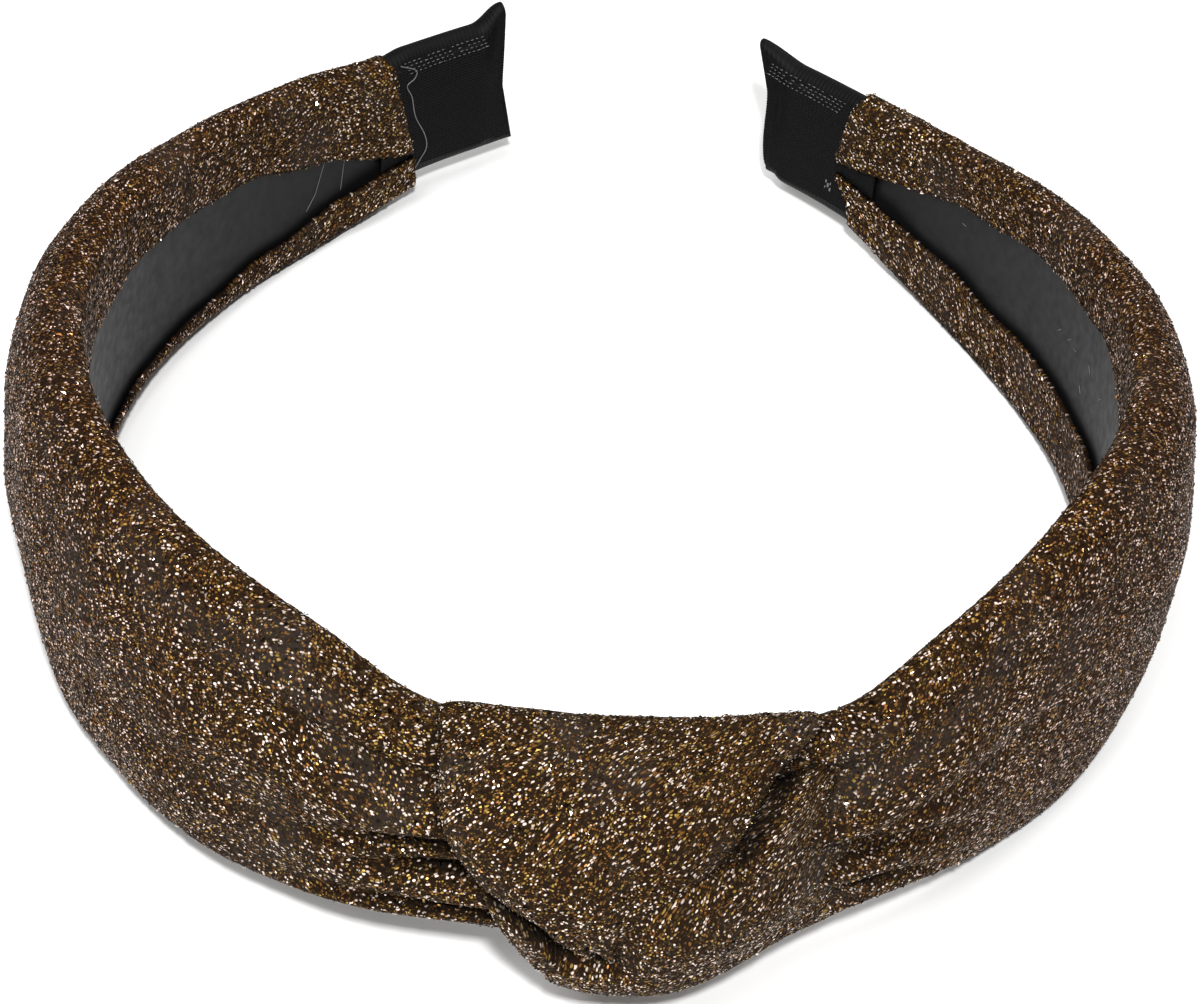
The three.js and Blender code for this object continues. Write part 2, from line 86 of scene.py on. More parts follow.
# Ribbon caps.
RIBBON_WALL = 1.0
RIBBON_CLOTH = 0.6
RIBBON_LENGTH = 16.5
RIBBON_TUCK = 5.0
TUCK_STEP = (0.4, 1.6)
EAR_LENGTH = 5.5
EAR_RISE = 2.6
EAR_REACH = 1.6
EAR_THINNING = 0.35
END_HOLLOW = 1.0
RIB_PITCH = 0.45
RIB_DEPTH = 0.08
MOUTH = HALF_ARC - RIBBON_LENGTH - RIBBON_TUCK
JOIN = HALF_ARC - RIBBON_LENGTH

# Knot.
KNOT_SHIFT = 7.5
WRAP_THICKNESS = 5.0
WRAP_HALF_WIDTH = 23.5
FOLD_THICKNESS = 5.8
KNOT_RIM = 0.25
# The most that the folds and gathers lift a cover's outer face, which the knot clears.
MAIN_RIDGE = 1.7
# The panel's lip and the crease beside it in mm, how much the fold thins and how closely it hugs the
# cover, and how steeply the sections of both fall off at their edges.
PANEL_LIP = 1.7
PANEL_CREASE = 1.0
FOLD_THINS = 0.75
FOLD_HUG = 2.2
PILLOW = 0.36

SEAT_GAP = 0.3
TABLE_PRESS = 0.35
FRONT_FOOT = 0.34
REAR_FROM = 0.6

# The cloth's mesh: how far apart its points lie, how far the rough knit moves each of them, and the rows
# and columns of points. An inner sheet has every fourth point of its outer one.
CLOTH_POINTS = 0.52
KNIT_ROUGHNESS = 0.07
INNER_SKIP = 4
COVER_FACE_STEPS = 132
COVER_HEM_STEPS = 22
COVER_TURN_STEPS = 8
HOOP_ROWS = 361
PANEL_GRID = (240, 89)
FOLD_GRID = (161, 89)
CAP_GRID = (64, 150)

# The stitches: their spacing, how far they are let in, how many there are and how they vary. On the fold
# they stand where it keeps more than a share of its thickness and hasn't sunk far into the cover.
STITCH_SPACING = 0.64
STITCH_SINK = 0.02
STITCH_SHARE = 0.62
STITCH_JITTER = 0.13
STITCH_SPREAD = 1.7
STITCH_LOWEST = 0.7
RARE_LARGE = 7.0
COMMON_SIZE = 0.7
PANEL_SITES = (200, 72)
FOLD_SITES = (96, 64)
FOLD_SHOWS = 0.05
FOLD_HIDDEN = 0.8


def columns(names, *rows):
    """A table's columns by name."""
    return dict(zip(names.split(), np.array(rows, float).T))


def row_at(table, at):
    """The table's columns, blended smoothly at each place given. Rows are ordered by the column "at"."""
    grid = table["at"]
    last = len(grid) - 1
    held = np.clip(at, grid[0], grid[-1])
    i = np.clip(np.searchsorted(grid, held) - 1, 0, last - 1)
    span = grid[i + 1] - grid[i]
    u = (held - grid[i]) / span
    blended = {}
    for name, column in table.items():
        before = np.maximum(i - 1, 0)
        after = np.minimum(i + 2, last)
        a = column[i]
        b = column[i + 1]
        slope_a = (b - column[before]) / (grid[i + 1] - grid[before]) * span
        slope_b = (column[after] - a) / (grid[after] - grid[i]) * span
        curve = 3 * (b - a) - 2 * slope_a - slope_b
        blended[name] = a + u * slope_a + u * u * curve + u**3 * (slope_a + slope_b - 2 * (b - a))
    return blended


def smooth(value, start, end):
    """0 before start, 1 after end, and a smooth step between."""
    u = np.clip((value - start) / (end - start), 0, 1)
    return u * u * (3 - 2 * u)


def blend(a, b, u):
    """The value a share u of the way from a to b."""
    return a + (b - a) * u


# The hoop's half width, as shares of the named widths, from the front centre (0) to a tip (1).
HOOP_WIDTHS = columns(
    "at front side tip",
    (0, 1, 0, 0),
    (0.12, 0.95, 0.05, 0),
    (0.4, 0, 1, 0),
    (0.62, 0, 1, 0),
    (0.82, 0, 0.52, 0.48),
    (0.9, 0, 0.1, 0.9),
    (1, 0, 0, 1),
)

# Cover sections: reaches and puff as shares of the greatest ones, hems as shares of the height.
COVER_SECTIONS = {
    LEFT: columns(
        "at top bottom puff top_hem bottom_hem",
        (0, 0.47, 0.7, 0.78, 0.26, 0.26),
        (0.09, 0.53, 0.77, 0.8, 0.26, 0.26),
        (0.15, 0.71, 0.87, 0.86, 0.27, 0.25),
        (0.22, 0.79, 0.93, 0.86, 0.28, 0.24),
        (0.36, 0.82, 1, 0.8, 0.3, 0.22),
        (0.5, 0.73, 0.79, 0.9, 0.3, 0.15),
        (0.62, 0.63, 0.64, 0.96, 0.3, 0.08),
        (0.75, 0.55, 0.63, 0.66, 0.34, 0.14),
        (0.84, 0.48, 0.64, 0.45, 0.46, 0.24),
        (0.92, 0.41, 0.52, 0.32, 0.69, 0.28),
    ),
    RIGHT: columns(
        "at top bottom puff top_hem bottom_hem",
        (0, 0.47, 0.72, 0.8, 0.26, 0.26),
        (0.165, 0.48, 0.75, 0.66, 0.26, 0.26),
        (0.23, 0.71, 0.8, 0.66, 0.28, 0.24),
        (0.29, 0.86, 0.92, 0.54, 0.29, 0.23),
        (0.36, 0.97, 1, 0.7, 0.3, 0.22),
        (0.43, 0.95, 0.92, 0.88, 0.28, 0.24),
        (0.5, 0.88, 0.82, 0.9, 0.26, 0.26),
        (0.62, 0.75, 0.71, 0.78, 0.22, 0.3),
        (0.75, 0.59, 0.69, 0.64, 0.22, 0.34),
        (0.84, 0.46, 0.61, 0.45, 0.32, 0.36),
        (0.925, 0.37, 0.45, 0.3, 0.51, 0.4),
    ),
}

# Folds that run out from the knot along a cover. near and far: where a fold lies across the outer face
# (0 top edge, 1 bottom edge). depth: a share of the puff. wide: half width. start, end: along the arm.
COVER_FOLDS = {
    LEFT: (
        dict(near=0.37, far=0.62, depth=0.2, wide=0.03, start=0, end=0.18),
        dict(near=0.47, far=0.64, depth=0.24, wide=0.026, start=0, end=0.14),
        dict(near=0.58, far=0.53, depth=0.1, wide=0.05, start=0.1, end=0.36),
        dict(near=0.8, far=0.88, depth=0.12, wide=0.04, start=0, end=0.3),
        dict(near=0.24, far=0.3, depth=0.07, wide=0.035, start=0, end=0.22),
        dict(near=0.68, far=0.76, depth=0.12, wide=0.024, start=0, end=0.2),
    ),
    RIGHT: (
        dict(near=0.44, far=0.7, depth=0.22, wide=0.032, start=0.1, end=0.29),
        dict(near=0.3, far=0.38, depth=-0.07, wide=0.05, start=0, end=0.34),
        dict(near=0.22, far=0.26, depth=0.07, wide=0.04, start=0, end=0.3),
        dict(near=0.6, far=0.8, depth=0.12, wide=0.026, start=0.12, end=0.26),
        dict(near=0.5, far=0.47, depth=0.08, wide=0.03, start=0.1, end=0.38),
        dict(near=0.8, far=0.9, depth=0.1, wide=0.03, start=0, end=0.3),
    ),
}
RIDGE_HEIGHT = 0.35
RIDGE_OFFSET = 2.0
RIDGE_WIDTH = 1.4

# The knot's two bands by their turn round the covers, in degrees (-90 below, 0 in front, 90 on top).
# left, right: an edge's distance from the knot's middle, as a share of the panel's half width.
WRAP_TURNS = columns(
    "at left right thick",
    (-90, 0.2, 0.1, 0.3),
    (-60, 0.16, 0.06, 0.3),
    (-32, 0.18, 0.06, 0.5),
    (-14, 0.36, 0.13, 0.9),
    (0, 0.56, 0.22, 1.05),
    (12, 0.7, 0.33, 1.05),
    (27, 0.8, 0.45, 0.95),
    (45, 0.84, 0.55, 0.78),
    (62, 0.86, 0.65, 0.62),
    (75, 0.88, 0.78, 0.5),
    (90, 0.93, 0.92, 0.42),
    (105, 0.88, 0.88, 0.38),
    (150, 0.66, 0.6, 0.32),
    (210, 0.5, 0.4, 0.32),
    (250, 0.3, 0.2, 0.3),
    (270, 0.2, 0.1, 0.3),
)
FOLD_TURNS = columns(
    "at left right thick",
    (-128, 0.28, 0.5, 0.4),
    (-105, 0.3, 0.8, 0.75),
    (-85, 0.32, 1.05, 1.0),
    (-60, 0.38, 1.28, 1.12),
    (-32, 0.48, 1.3, 1.1),
    (-12, 0.58, 1.24, 1.0),
    (5, 0.6, 1.18, 0.88),
    (25, 0.4, 1.14, 0.8),
    (45, 0.1, 1.14, 0.72),
    (62, -0.1, 1.1, 0.6),
    (84, -0.3, 1.0, 0.3),
)

# How much shorter a cover is than its row of sections, in mm, from its bottom edge (-1) to its top (1).
END_CUTS = {
    LEFT: columns("at cut", (-1, 0.3), (-0.5, 0.5), (0.35, 2.8), (1, 4.6)),
    RIGHT: columns("at cut", (-1, 3.4), (-0.6, 2.8), (-0.25, 0), (0.5, 0.9), (1, 2.3)),
}
END_CUT_RUN = 0.1
END_CUT_WANDER = 0.25
END_CUT_WANDER_SIZE = 6

# Corners of the ribbon caps, as shares of the ears' rise and reach. lift: how far a cap's top is raised.
CAP_CORNERS = {
    LEFT: dict(top_rise=1, bottom_rise=0, top_reach=-0.7, bottom_reach=0.8, lift=0.9),
    RIGHT: dict(top_rise=0.6, bottom_rise=-0.45, top_reach=1, bottom_reach=-1.2, lift=0),
}


def middle_line(distance):
    """Where the hoop's middle line is, a distance along it from the front centre, and its turn."""
    left = np.abs(np.asarray(distance, float))
    x = np.zeros_like(left)
    y = np.zeros_like(left)
    turned = np.zeros_like(left)
    for radius, sweep in HOOP_ARCS:
        part = np.minimum(left / radius, sweep)
        x = x + radius * (np.sin(turned + part) - np.sin(turned))
        y = y + radius * (np.cos(turned) - np.cos(turned + part))
        turned = turned + part
        left = left - radius * part
    return x + left * np.cos(turned), y + left * np.sin(turned), turned


def arm_rise(side, at):
    """How far an arm rises, most of it near its tip."""
    return ARM_RISES[side] * np.clip(2 * at - 1, 0, 1) ** 3


def place(side, along, out, up):
    """Points in the hoop's own plane frame: along the middle line, outwards from it and up from it."""
    x, y, turned = middle_line(along)
    sign = np.sign(along) if side == 0 else side
    at = np.abs(along) / HALF_ARC
    rise = np.where(np.asarray(sign) < 0, arm_rise(LEFT, at), arm_rise(RIGHT, at))
    points = np.broadcast_arrays(sign * (x + out * np.sin(turned)), y - out * np.cos(turned), up + rise)
    return np.stack(points, axis=-1)


def hoop_half_width(at):
    """Half the hoop's width at a share of the way from the front centre to a tip."""
    row = row_at(HOOP_WIDTHS, at)
    return row["front"] * HOOP_FRONT_HALF + row["side"] * HOOP_SIDE_HALF + row["tip"] * HOOP_TIP_HALF


def hem_seat(at):
    """How far the turned-in hems stand off the hoop's middle, further out over a ribbon's tuck."""
    to_tuck = MOUTH - at * HALF_ARC
    step = 1 - smooth(to_tuck / RIBBON_TUCK, *TUCK_STEP)
    return HOOP_THICKNESS / 2 + SEAT_GAP + step * RIBBON_CLOTH


def cover_size(side, at):
    """The reaches of a cover's section. The cloth never lies inside hoop or ribbon."""
    row = row_at(COVER_SECTIONS[side], at)
    seat = hem_seat(at)
    least = hoop_half_width(at) + seat - HOOP_THICKNESS / 2 + CLOTH_WALL
    row["top"] = np.maximum(row["top"] * COVER_TOP, least)
    row["bottom"] = np.maximum(row["bottom"] * COVER_BOTTOM, least)
    row["puff"] = np.maximum(row["puff"] * COVER_PUFF, seat + CLOTH_WALL)
    row["seat"] = seat
    row["height"] = row["top"] + row["bottom"]
    return row


def fold_relief(side, at, across):
    """How far a cover's folds, and its gathers by the knot, move its outer face in or out."""
    relief = np.zeros(np.broadcast_shapes(np.shape(at), np.shape(across)))
    for fold in COVER_FOLDS[side]:
        run = np.clip((at - fold["start"]) / (fold["end"] - fold["start"]), 0, 1)
        offset = across - blend(fold["near"], fold["far"], run)
        valley = np.exp(-((offset / fold["wide"]) ** 2))
        ridge = np.exp(-(((offset + RIDGE_OFFSET * fold["wide"]) / (RIDGE_WIDTH * fold["wide"])) ** 2))
        fade = 1 - smooth(run, 0.35, 1)
        relief = relief - fold["depth"] * COVER_PUFF * fade * (valley - RIDGE_HEIGHT * ridge)
    gather = 1 - smooth(at * HALF_ARC, 0.4 * GATHER_LENGTH, GATHER_LENGTH)
    edges = np.sin(np.pi * np.clip(across, 0, 1))
    return relief + GATHER_WAVE * gather * edges * np.cos(2 * np.pi * GATHER_COUNT * across)


def strip_reach(half_width, radius, up):
    """How far out the rounded section of a strip reaches at a height, once it is grown to a radius."""
    past = np.maximum(np.abs(up) - (half_width - HOOP_THICKNESS / 2), 0)
    return np.sqrt(np.maximum(radius**2 - past**2, 0))


def ripple(u, v, scale, seed):
    """A soft wander of about -1 to 1 over two distances in millimetres, the same each time."""
    rng = np.random.default_rng(seed)
    total = 0
    for _ in range(6):
        way = rng.uniform(0, 2 * np.pi)
        phase = rng.uniform(0, 2 * np.pi)
        wave = scale * rng.uniform(0.7, 1.5)
        total = total + np.sin(2 * np.pi * (u * np.cos(way) + v * np.sin(way)) / wave + phase)
    return total / 3


def cover_line(side, at, face_steps, hem_steps, turn_steps, wall=0.0):
    """The section's outer line as (out, up): top hem, top edge, puffed face, bottom edge, bottom hem."""
    size = cover_size(side, at)
    radius = size["seat"] + CLOTH_WALL
    along = at * HALF_ARC
    hem = np.linspace(0, 1, hem_steps + 1)
    wander = HEM_WANDER * (1 - smooth(at, *HEM_WANDER_FADES)) * ripple(along, 0, HEM_WANDER_SIZE, 5 + side)
    top_edge = size["top"] - radius
    low_edge = radius - size["bottom"]
    top_free = size["top"] - size["top_hem"] * size["height"] + wander
    low_free = size["bottom_hem"] * size["height"] - size["bottom"] + wander
    turn = np.radians(90) * np.arange(1, turn_steps) / turn_steps
    across = np.linspace(0, 1, face_steps + 1)
    angle = (0.5 - across) * np.pi
    full = np.abs(np.cos(angle)) ** PUFF_ROUNDNESS
    middle = (size["top"] - size["bottom"]) / 2
    face_up = middle + size["height"] / 2 * np.sin(angle)
    relief = fold_relief(side, at, across) * np.minimum(1, 2 * full)
    wave = FACE_WANDER * ripple(along, face_up, FACE_WANDER_SIZE, 11 + side)
    relief = relief + wave * np.minimum(1, 2 * full)
    snug = strip_reach(hoop_half_width(at), radius, face_up)
    face_out = np.maximum(full * size["puff"] + relief, snug)
    flat = np.zeros_like(hem)
    out = [flat - radius, -radius * np.cos(turn), face_out, -radius * np.cos(turn[::-1]), flat - radius]
    up = [
        blend(top_free, top_edge, hem),
        size["top"] - radius * (1 - np.sin(turn)),
        face_up,
        radius * (1 - np.sin(turn[::-1])) - size["bottom"],
        blend(low_edge, low_free, hem),
    ]
    out = np.concatenate([np.broadcast_to(part, (len(at), part.shape[-1])) for part in out], axis=1)
    up = np.concatenate([np.broadcast_to(part, (len(at), part.shape[-1])) for part in up], axis=1)
    run_out = np.gradient(out, axis=1)
    run_up = np.gradient(up, axis=1)
    length = np.hypot(run_out, run_up)
    return out + wall * run_up / length, up - wall * run_out / length


def lean_angle():
    """How far the hoop leans back, so that the covers touch the table in front and behind."""
    foot_y = middle_line(FRONT_FOOT * HALF_ARC)[1]
    slopes = []
    for side in (LEFT, RIGHT):
        at = np.linspace(REAR_FROM, 1, 41)
        drop = cover_size(side, at)["bottom"] - arm_rise(side, at) - TABLE_PRESS
        slopes.append((COVER_BOTTOM - TABLE_PRESS - drop) / (middle_line(at * HALF_ARC)[1] - foot_y))
    return math.atan(np.min(slopes))


LEAN = lean_angle()
FOOT_Y = float(middle_line(FRONT_FOOT * HALF_ARC)[1])


def strip_ring(half_thickness, top, bottom, arc_steps=8, flat_steps=10):
    """A flat strip's section with rounded long edges, as out and up columns."""
    swing = np.linspace(0, np.pi, arc_steps + 1)
    drop = np.linspace(0, 1, flat_steps + 1)[1:-1]
    flat = np.ones_like(drop)
    high = top - half_thickness
    low = half_thickness - bottom
    out = [half_thickness * np.cos(swing), -half_thickness * flat,
           half_thickness * np.cos(swing + np.pi), half_thickness * flat]
    up = [high + half_thickness * np.sin(swing), blend(high, low, drop),
          low + half_thickness * np.sin(swing + np.pi), blend(low, high, drop)]
    return np.concatenate(out, axis=-1), np.concatenate(up, axis=-1)


def leaned(points):
    """Points of the hoop's own frame, turned back by the lean, in millimetres."""
    x, y, z = np.moveaxis(points, -1, 0)
    cos = math.cos(LEAN)
    sin = math.sin(LEAN)
    return np.stack([x, y * cos + z * sin, z * cos - y * sin], axis=-1)


def frame_shift():
    """What moves the leaned headband onto the frame: the solid hoop's lowest corner settles it."""
    along = np.linspace(-1, 1, 45)[:, None] * (HALF_ARC - RIBBON_WALL - SEAT_GAP - END_HOLLOW)
    half = hoop_half_width(np.abs(along) / HALF_ARC)
    swing = np.radians([0, 90, 180])
    round_off = HOOP_THICKNESS / 2
    out = np.concatenate([np.cos(swing), -np.cos(swing)]) * round_off
    up = np.concatenate([half - round_off + round_off * np.sin(swing),
                         round_off - half - round_off * np.sin(swing)], axis=1)
    corner = leaned(place(0, along, out, up)).reshape(-1, 3).min(axis=0)
    return np.array(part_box("hoop")[0]) / MM - corner


SHIFT = frame_shift()


def to_frame(points):
    """Points of the hoop's own frame in the shared frame, in metres."""
    return (leaned(points) + SHIFT) * MM


def on_table(points):
    """The cloth is flat where it lies on the table."""
    floor = (points[..., 1] - FOOT_Y) * math.tan(LEAN) - (COVER_BOTTOM - TABLE_PRESS)
    return np.concatenate([points[..., :2], np.maximum(points[..., 2], floor)[..., None]], axis=-1)


def around_covers(turn, along, grow):
    """The section round the covers, grown evenly, at turns (degrees) and distances: (out, up)."""
    left = cover_size(LEFT, np.abs(along) / HALF_ARC)
    right = cover_size(RIGHT, np.abs(along) / HALF_ARC)
    size = {name: np.where(along < 0, left[name], right[name]) for name in left}
    back = size["seat"] + CLOTH_WALL + grow
    front = size["puff"] + MAIN_RIDGE + grow
    top = size["top"] + grow
    bottom = size["bottom"] + grow
    over = np.radians(2 * (turn - 90))
    under = np.radians(2 * np.where(turn > 0, turn - 225, turn + 135))
    full = np.abs(np.cos(np.radians(turn))) ** PUFF_ROUNDNESS
    where = [(turn > 90) & (turn < 135), (turn >= 135) & (turn <= 225), (turn > 225) | (turn < -90)]
    out = np.select(where, [-back * np.sin(over), -back, -back * np.cos(under)], full * front)
    up = np.select(
        where,
        [top - back * (1 - np.cos(over)), blend(top - back, back - bottom, (turn - 135) / 90),
         back * (1 - np.sin(under)) - bottom],
        (top - bottom + (top + bottom) * np.sin(np.radians(turn))) / 2,
    )
    return out, up


def band_edges(table, turn):
    """Where a band's left and right edges are along the hoop, at turns in degrees, and its thickness."""
    row = row_at(table, turn)
    left = KNOT_SHIFT - row["left"] * WRAP_HALF_WIDTH
    right = KNOT_SHIFT + row["right"] * WRAP_HALF_WIDTH
    return left, right, row["thick"]


def fold_shape(turn, cells, along):
    """What share of its thickness the fold keeps, and how far it sinks into the right cover.

    Beside the panel it rises out of a crease, below the panel's tip it lies over it, and at its upper
    end and its right edge it runs out into the cover. Each step runs between two turns, in degrees, or
    two shares of the fold's width.
    """
    left, right, _ = band_edges(WRAP_TURNS, np.where(turn < -90, turn + 360, turn))
    low_right = (1 - smooth(turn, 4, 30)) * smooth(along, left, right)
    past = np.maximum(left - along, along - right) - PANEL_CREASE * smooth(turn, 0, 25)
    free = np.maximum(smooth(past, 0.0, PANEL_LIP), np.maximum(1 - smooth(turn, -34, -16), low_right))
    thinner = 1 - FOLD_THINS * smooth(cells, 0.12, 0.75) * (1 - smooth(turn, -40, 0))
    sunk = np.maximum(smooth(turn, 40, 82), smooth(cells, 0.5, 1) * smooth(turn, -95, -30))
    return free * thinner, sunk


def fold_in_sight(turns, cells):
    """Which points of the fold's outer sheet stand out of the panel and of the right cover."""
    turn = turns[:, None]
    left, right, _ = band_edges(FOLD_TURNS, turn)
    kept, sunk = fold_shape(turn, cells, blend(left, right, cells))
    return (kept > FOLD_SHOWS) & (sunk < FOLD_HIDDEN)


def panel_shape(turn, cells, along):
    """The panel keeps all its thickness and lies on the covers everywhere."""
    return 1.0, 0.0


def band_sheets(table, turns, cells, thickness, crease, shape):
    """The outer and inner sheets of a band of the knot, pillowed across its width."""
    turn = turns[:, None]
    left, right, share = band_edges(table, turn)
    along = blend(left, right, cells)
    kept, sunk = shape(turn, cells, along)
    pillow = np.sin(np.pi * cells) ** PILLOW
    thick = np.maximum((share * thickness + crease(turn, cells)) * pillow * kept, KNOT_RIM)
    near = around_covers(turn, along, SEAT_GAP - (MAIN_RIDGE + FOLD_HUG + KNOT_RIM) * sunk)
    far = around_covers(turn, along, SEAT_GAP + thick - (thick + MAIN_RIDGE + FOLD_HUG) * sunk)
    return place(0, along, *far), place(0, along, *near)


def unit(vectors):
    """Vectors of length 1, the same way as those given."""
    return vectors / np.maximum(np.linalg.norm(vectors, axis=-1, keepdims=True), 1e-12)


def roughened(outer, inner, rng):
    """The outer sheet with each point moved a little in or out, as loops of a knit stand."""
    draw = rng.uniform(-1, 1, outer.shape[:2])[..., None]
    return outer + unit(outer - inner) * draw * KNIT_ROUGHNESS


def grid_faces(rows, cols, first=0, closed=False, flip=False):
    """The quads of a sheet of points, row after row."""
    i = np.arange(rows if closed else rows - 1)[:, None]
    j = np.arange(cols - 1)[None, :]
    low = first + i * cols + j
    high = first + ((i + 1) % rows) * cols + j
    quads = np.stack([low, low + 1, high + 1, high], axis=-1).reshape(-1, 4)
    return quads[:, ::-1] if flip else quads


def add_object(name, points, faces, material, smooth_shaded=True):
    """A mesh object from points in metres, linked to the scene."""
    mesh = bpy.data.meshes.new(name)
    mesh.from_pydata([tuple(p) for p in points], [], [[int(k) for k in face] for face in faces])
    mesh.validate()
    if smooth_shaded:
        mesh.shade_smooth()
    if material is not None:
        mesh.materials.append(material)
    made = bpy.data.objects.new(name, mesh)
    bpy.context.scene.collection.objects.link(made)
    return made


def signed_volume(points, faces):
    """Six times the volume inside closed faces: negative where they point inwards."""
    fans = [(face[0], face[k], face[k + 1]) for face in faces for k in range(1, len(face) - 1)]
    a, b, c = points[np.array(fans)].transpose(1, 0, 2)
    return float(np.sum(a * np.cross(b, c)))


def wall_object(name, outer, inner, material, closed=False):
    """A closed wall of cloth: a fine outer sheet, an inner sheet of every few of its points, and rims."""
    skip = INNER_SKIP
    rows, cols = outer.shape[:2]
    thin = inner[::skip, ::skip]
    thin_rows, thin_cols = thin.shape[:2]
    first = rows * cols
    points = np.concatenate([outer.reshape(-1, 3), thin.reshape(-1, 3)])
    faces = grid_faces(rows, cols, closed=closed).tolist()
    faces += grid_faces(thin_rows, thin_cols, first, closed=closed, flip=True).tolist()

    def rim(fine, coarse, flip):
        for k in range(len(coarse) - 1):
            face = [coarse[k + 1], coarse[k], *fine[k * skip : (k + 1) * skip + 1]]
            faces.append(face[::-1] if flip else face)

    def line(start, step, count):
        return [start + step * k for k in range(count)]

    fine_rows = line(0, cols, rows) + ([0] if closed else [])
    coarse_rows = line(first, thin_cols, thin_rows) + ([first] if closed else [])
    rim(fine_rows, coarse_rows, False)
    rim([k + cols - 1 for k in fine_rows], [k + thin_cols - 1 for k in coarse_rows], True)
    if not closed:
        rim(line(0, 1, cols), line(first, 1, thin_cols), True)
        last_fine = (rows - 1) * cols
        last_coarse = first + (thin_rows - 1) * thin_cols
        rim(line(last_fine, 1, cols), line(last_coarse, 1, thin_cols), False)
    if signed_volume(points, faces) < 0:
        faces = [face[::-1] for face in faces]
    return add_object(name, points, faces, material)


def give_uv(made, u, v, skip=None, name="cloth"):
    """A UV map in metres of cloth from millimetres at each point of the outer sheet.

    The points of an inner sheet, every skip-th one, lie under their own outer points. Any left over lie
    at the last of them.
    """
    mesh = made.data
    sheets = [(u, v)] if skip is None else [(u, v), (u[::skip, ::skip], v[::skip, ::skip])]
    given = np.concatenate([np.stack([a.ravel(), b.ravel()], axis=-1) for a, b in sheets]) * MM
    flat = np.empty((len(mesh.vertices), 2), np.float32)
    flat[:] = given[-1]
    flat[: len(given)] = given
    corner = np.zeros(len(mesh.loops), np.int32)
    mesh.loops.foreach_get("vertex_index", corner)
    layer = mesh.uv_layers.new(name=name)
    layer.data.foreach_set("uv", flat[corner].ravel())


def linear(hex_colour, alpha=True):
    """A colour given as an sRGB hex value, in Blender's linear values."""
    values = [int(hex_colour[i : i + 2], 16) / 255 for i in (1, 3, 5)]
    values = [v / 12.92 if v <= 0.04045 else ((v + 0.055) / 1.055) ** 2.4 for v in values]
    return (*values, 1.0) if alpha else tuple(values)


def add_node(tree, kind, links=None, **settings):
    """Adds a node. Settings are its own properties, or its sockets as in_NAME; links join its sockets."""
    node = tree.nodes.new(kind)
    for name, value in settings.items():
        if name.startswith("in_"):
            key = name[3:]
            node.inputs[int(key) if key.isdigit() else key.replace("_", " ")].default_value = value
        else:
            setattr(node, name, value)
    for name, source in (links or {}).items():
        tree.links.new(source, node.inputs[name])
    return node


def new_material(name):
    """A material with a Principled shader, its tree, and that shader."""
    material = bpy.data.materials.new(name)
    material.use_nodes = True
    tree = material.node_tree
    return material, tree, tree.nodes["Principled BSDF"]


# The film's colours, from which random value on each of them shows, and how far that may be pushed on.
GLINT_STOPS = (
    ("knit_shade", 0.0, 0.0),
    ("knit_olive", 0.24, 0.4),
    ("knit_copper", 0.5, 0.5),
    ("knit_gold", 0.7, 0.6),
    # Pale: on the knit's strokes and specks, a painted glint in the base colour; on the stitches, the tint
    # of a film mirror.
    ("knit_pale_film_and_glint", 0.8, 0.6),
)


def glint_ramp(tree, source, colours, later):
    """A colour for each speck from its random value: dark, then copper, gold and pale.

    later pushes the bright colours on, so that fewer specks have them.
    """
    ramp = add_node(tree, "ShaderNodeValToRGB", {"Fac": source})
    ramp.color_ramp.interpolation = "CONSTANT"
    stops = ramp.color_ramp.elements
    for k, (colour, start, push) in enumerate(GLINT_STOPS):
        where = start + push * later
        stop = stops[k] if k < 2 else stops.new(where)
        stop.position = where
        stop.color = (*getattr(colours, colour), 1)
    return ramp.outputs["Color"]


# The knit: a stroke of film is most of a stitch long, and the specks between are single crossings of the
# yarn. Its rows wander, and in patches a painted grey sheen lies on its fibre. All in millimetres.
KNIT_NAME = "Metallised film jersey knit"
STROKE_LENGTH = 0.52
STROKE_WIDTH = 0.32
STROKE_SLANT = math.radians(35)
FINE_SPECK = 0.3
SPECK_TILT = 0.9
WANDER_SIZE = 8
WANDER_REACH = 2.4
SHEEN_PATCH_SIZE = 13
CREASE_DEPTH = 3.5
CREASE_DARKENS = 2.2
CREASE_BLACK = (0.001, 0.001, 0.001)
# How far to a side, in metres, the film starts to turn pinker and stops, and the most that it does.
BLUSH_RUN = (0.03, 0.075)
BLUSH_MOST = 0.6


def ranged(tree, value, start, end, low=0.0, high=1.0):
    """A value carried over from one range to another and held within it."""
    return add_node(
        tree, "ShaderNodeMapRange", {"Value": value}, in_1=start, in_2=end, in_3=low, in_4=high,
    ).outputs["Result"]


def multiplied(tree, first, second):
    """Two values multiplied."""
    return add_node(tree, "ShaderNodeMath", {0: first, 1: second}, operation="MULTIPLY").outputs[0]


def noise(tree, vector, size, output="Fac", **node_settings):
    """Noise with features about that many millimetres across."""
    return add_node(
        tree, "ShaderNodeTexNoise", {"Vector": vector}, in_Scale=1 / (size * MM), **node_settings,
    ).outputs[output]


def mixed(tree, factor, first, second, blend_type="MIX"):
    """A colour between two others, each of them a plain colour or a socket."""
    node = add_node(tree, "ShaderNodeMix", {"Factor": factor}, data_type="RGBA", blend_type=blend_type)
    for key, colour in ((6, first), (7, second)):
        if isinstance(colour, bpy.types.NodeSocket):
            tree.links.new(colour, node.inputs[key])
        else:
            node.inputs[key].default_value = (*colour, 1)
    return node.outputs[2]


def centred(tree, colour):
    """Random colours moved so that they lie round zero."""
    return add_node(
        tree, "ShaderNodeVectorMath", {0: colour}, operation="SUBTRACT", in_1=(0.5, 0.5, 0.5),
    ).outputs[0]


def object_place(tree):
    """Where a point is on its object."""
    return add_node(tree, "ShaderNodeTexCoord").outputs["Object"]


def bump(tree, shader, height, strength, depth):
    """Gives a shader a relief that many millimetres deep."""
    made = add_node(
        tree, "ShaderNodeBump", {"Height": height}, in_Strength=strength, in_Distance=depth * MM,
    )
    tree.links.new(made.outputs["Normal"], shader.inputs["Normal"])


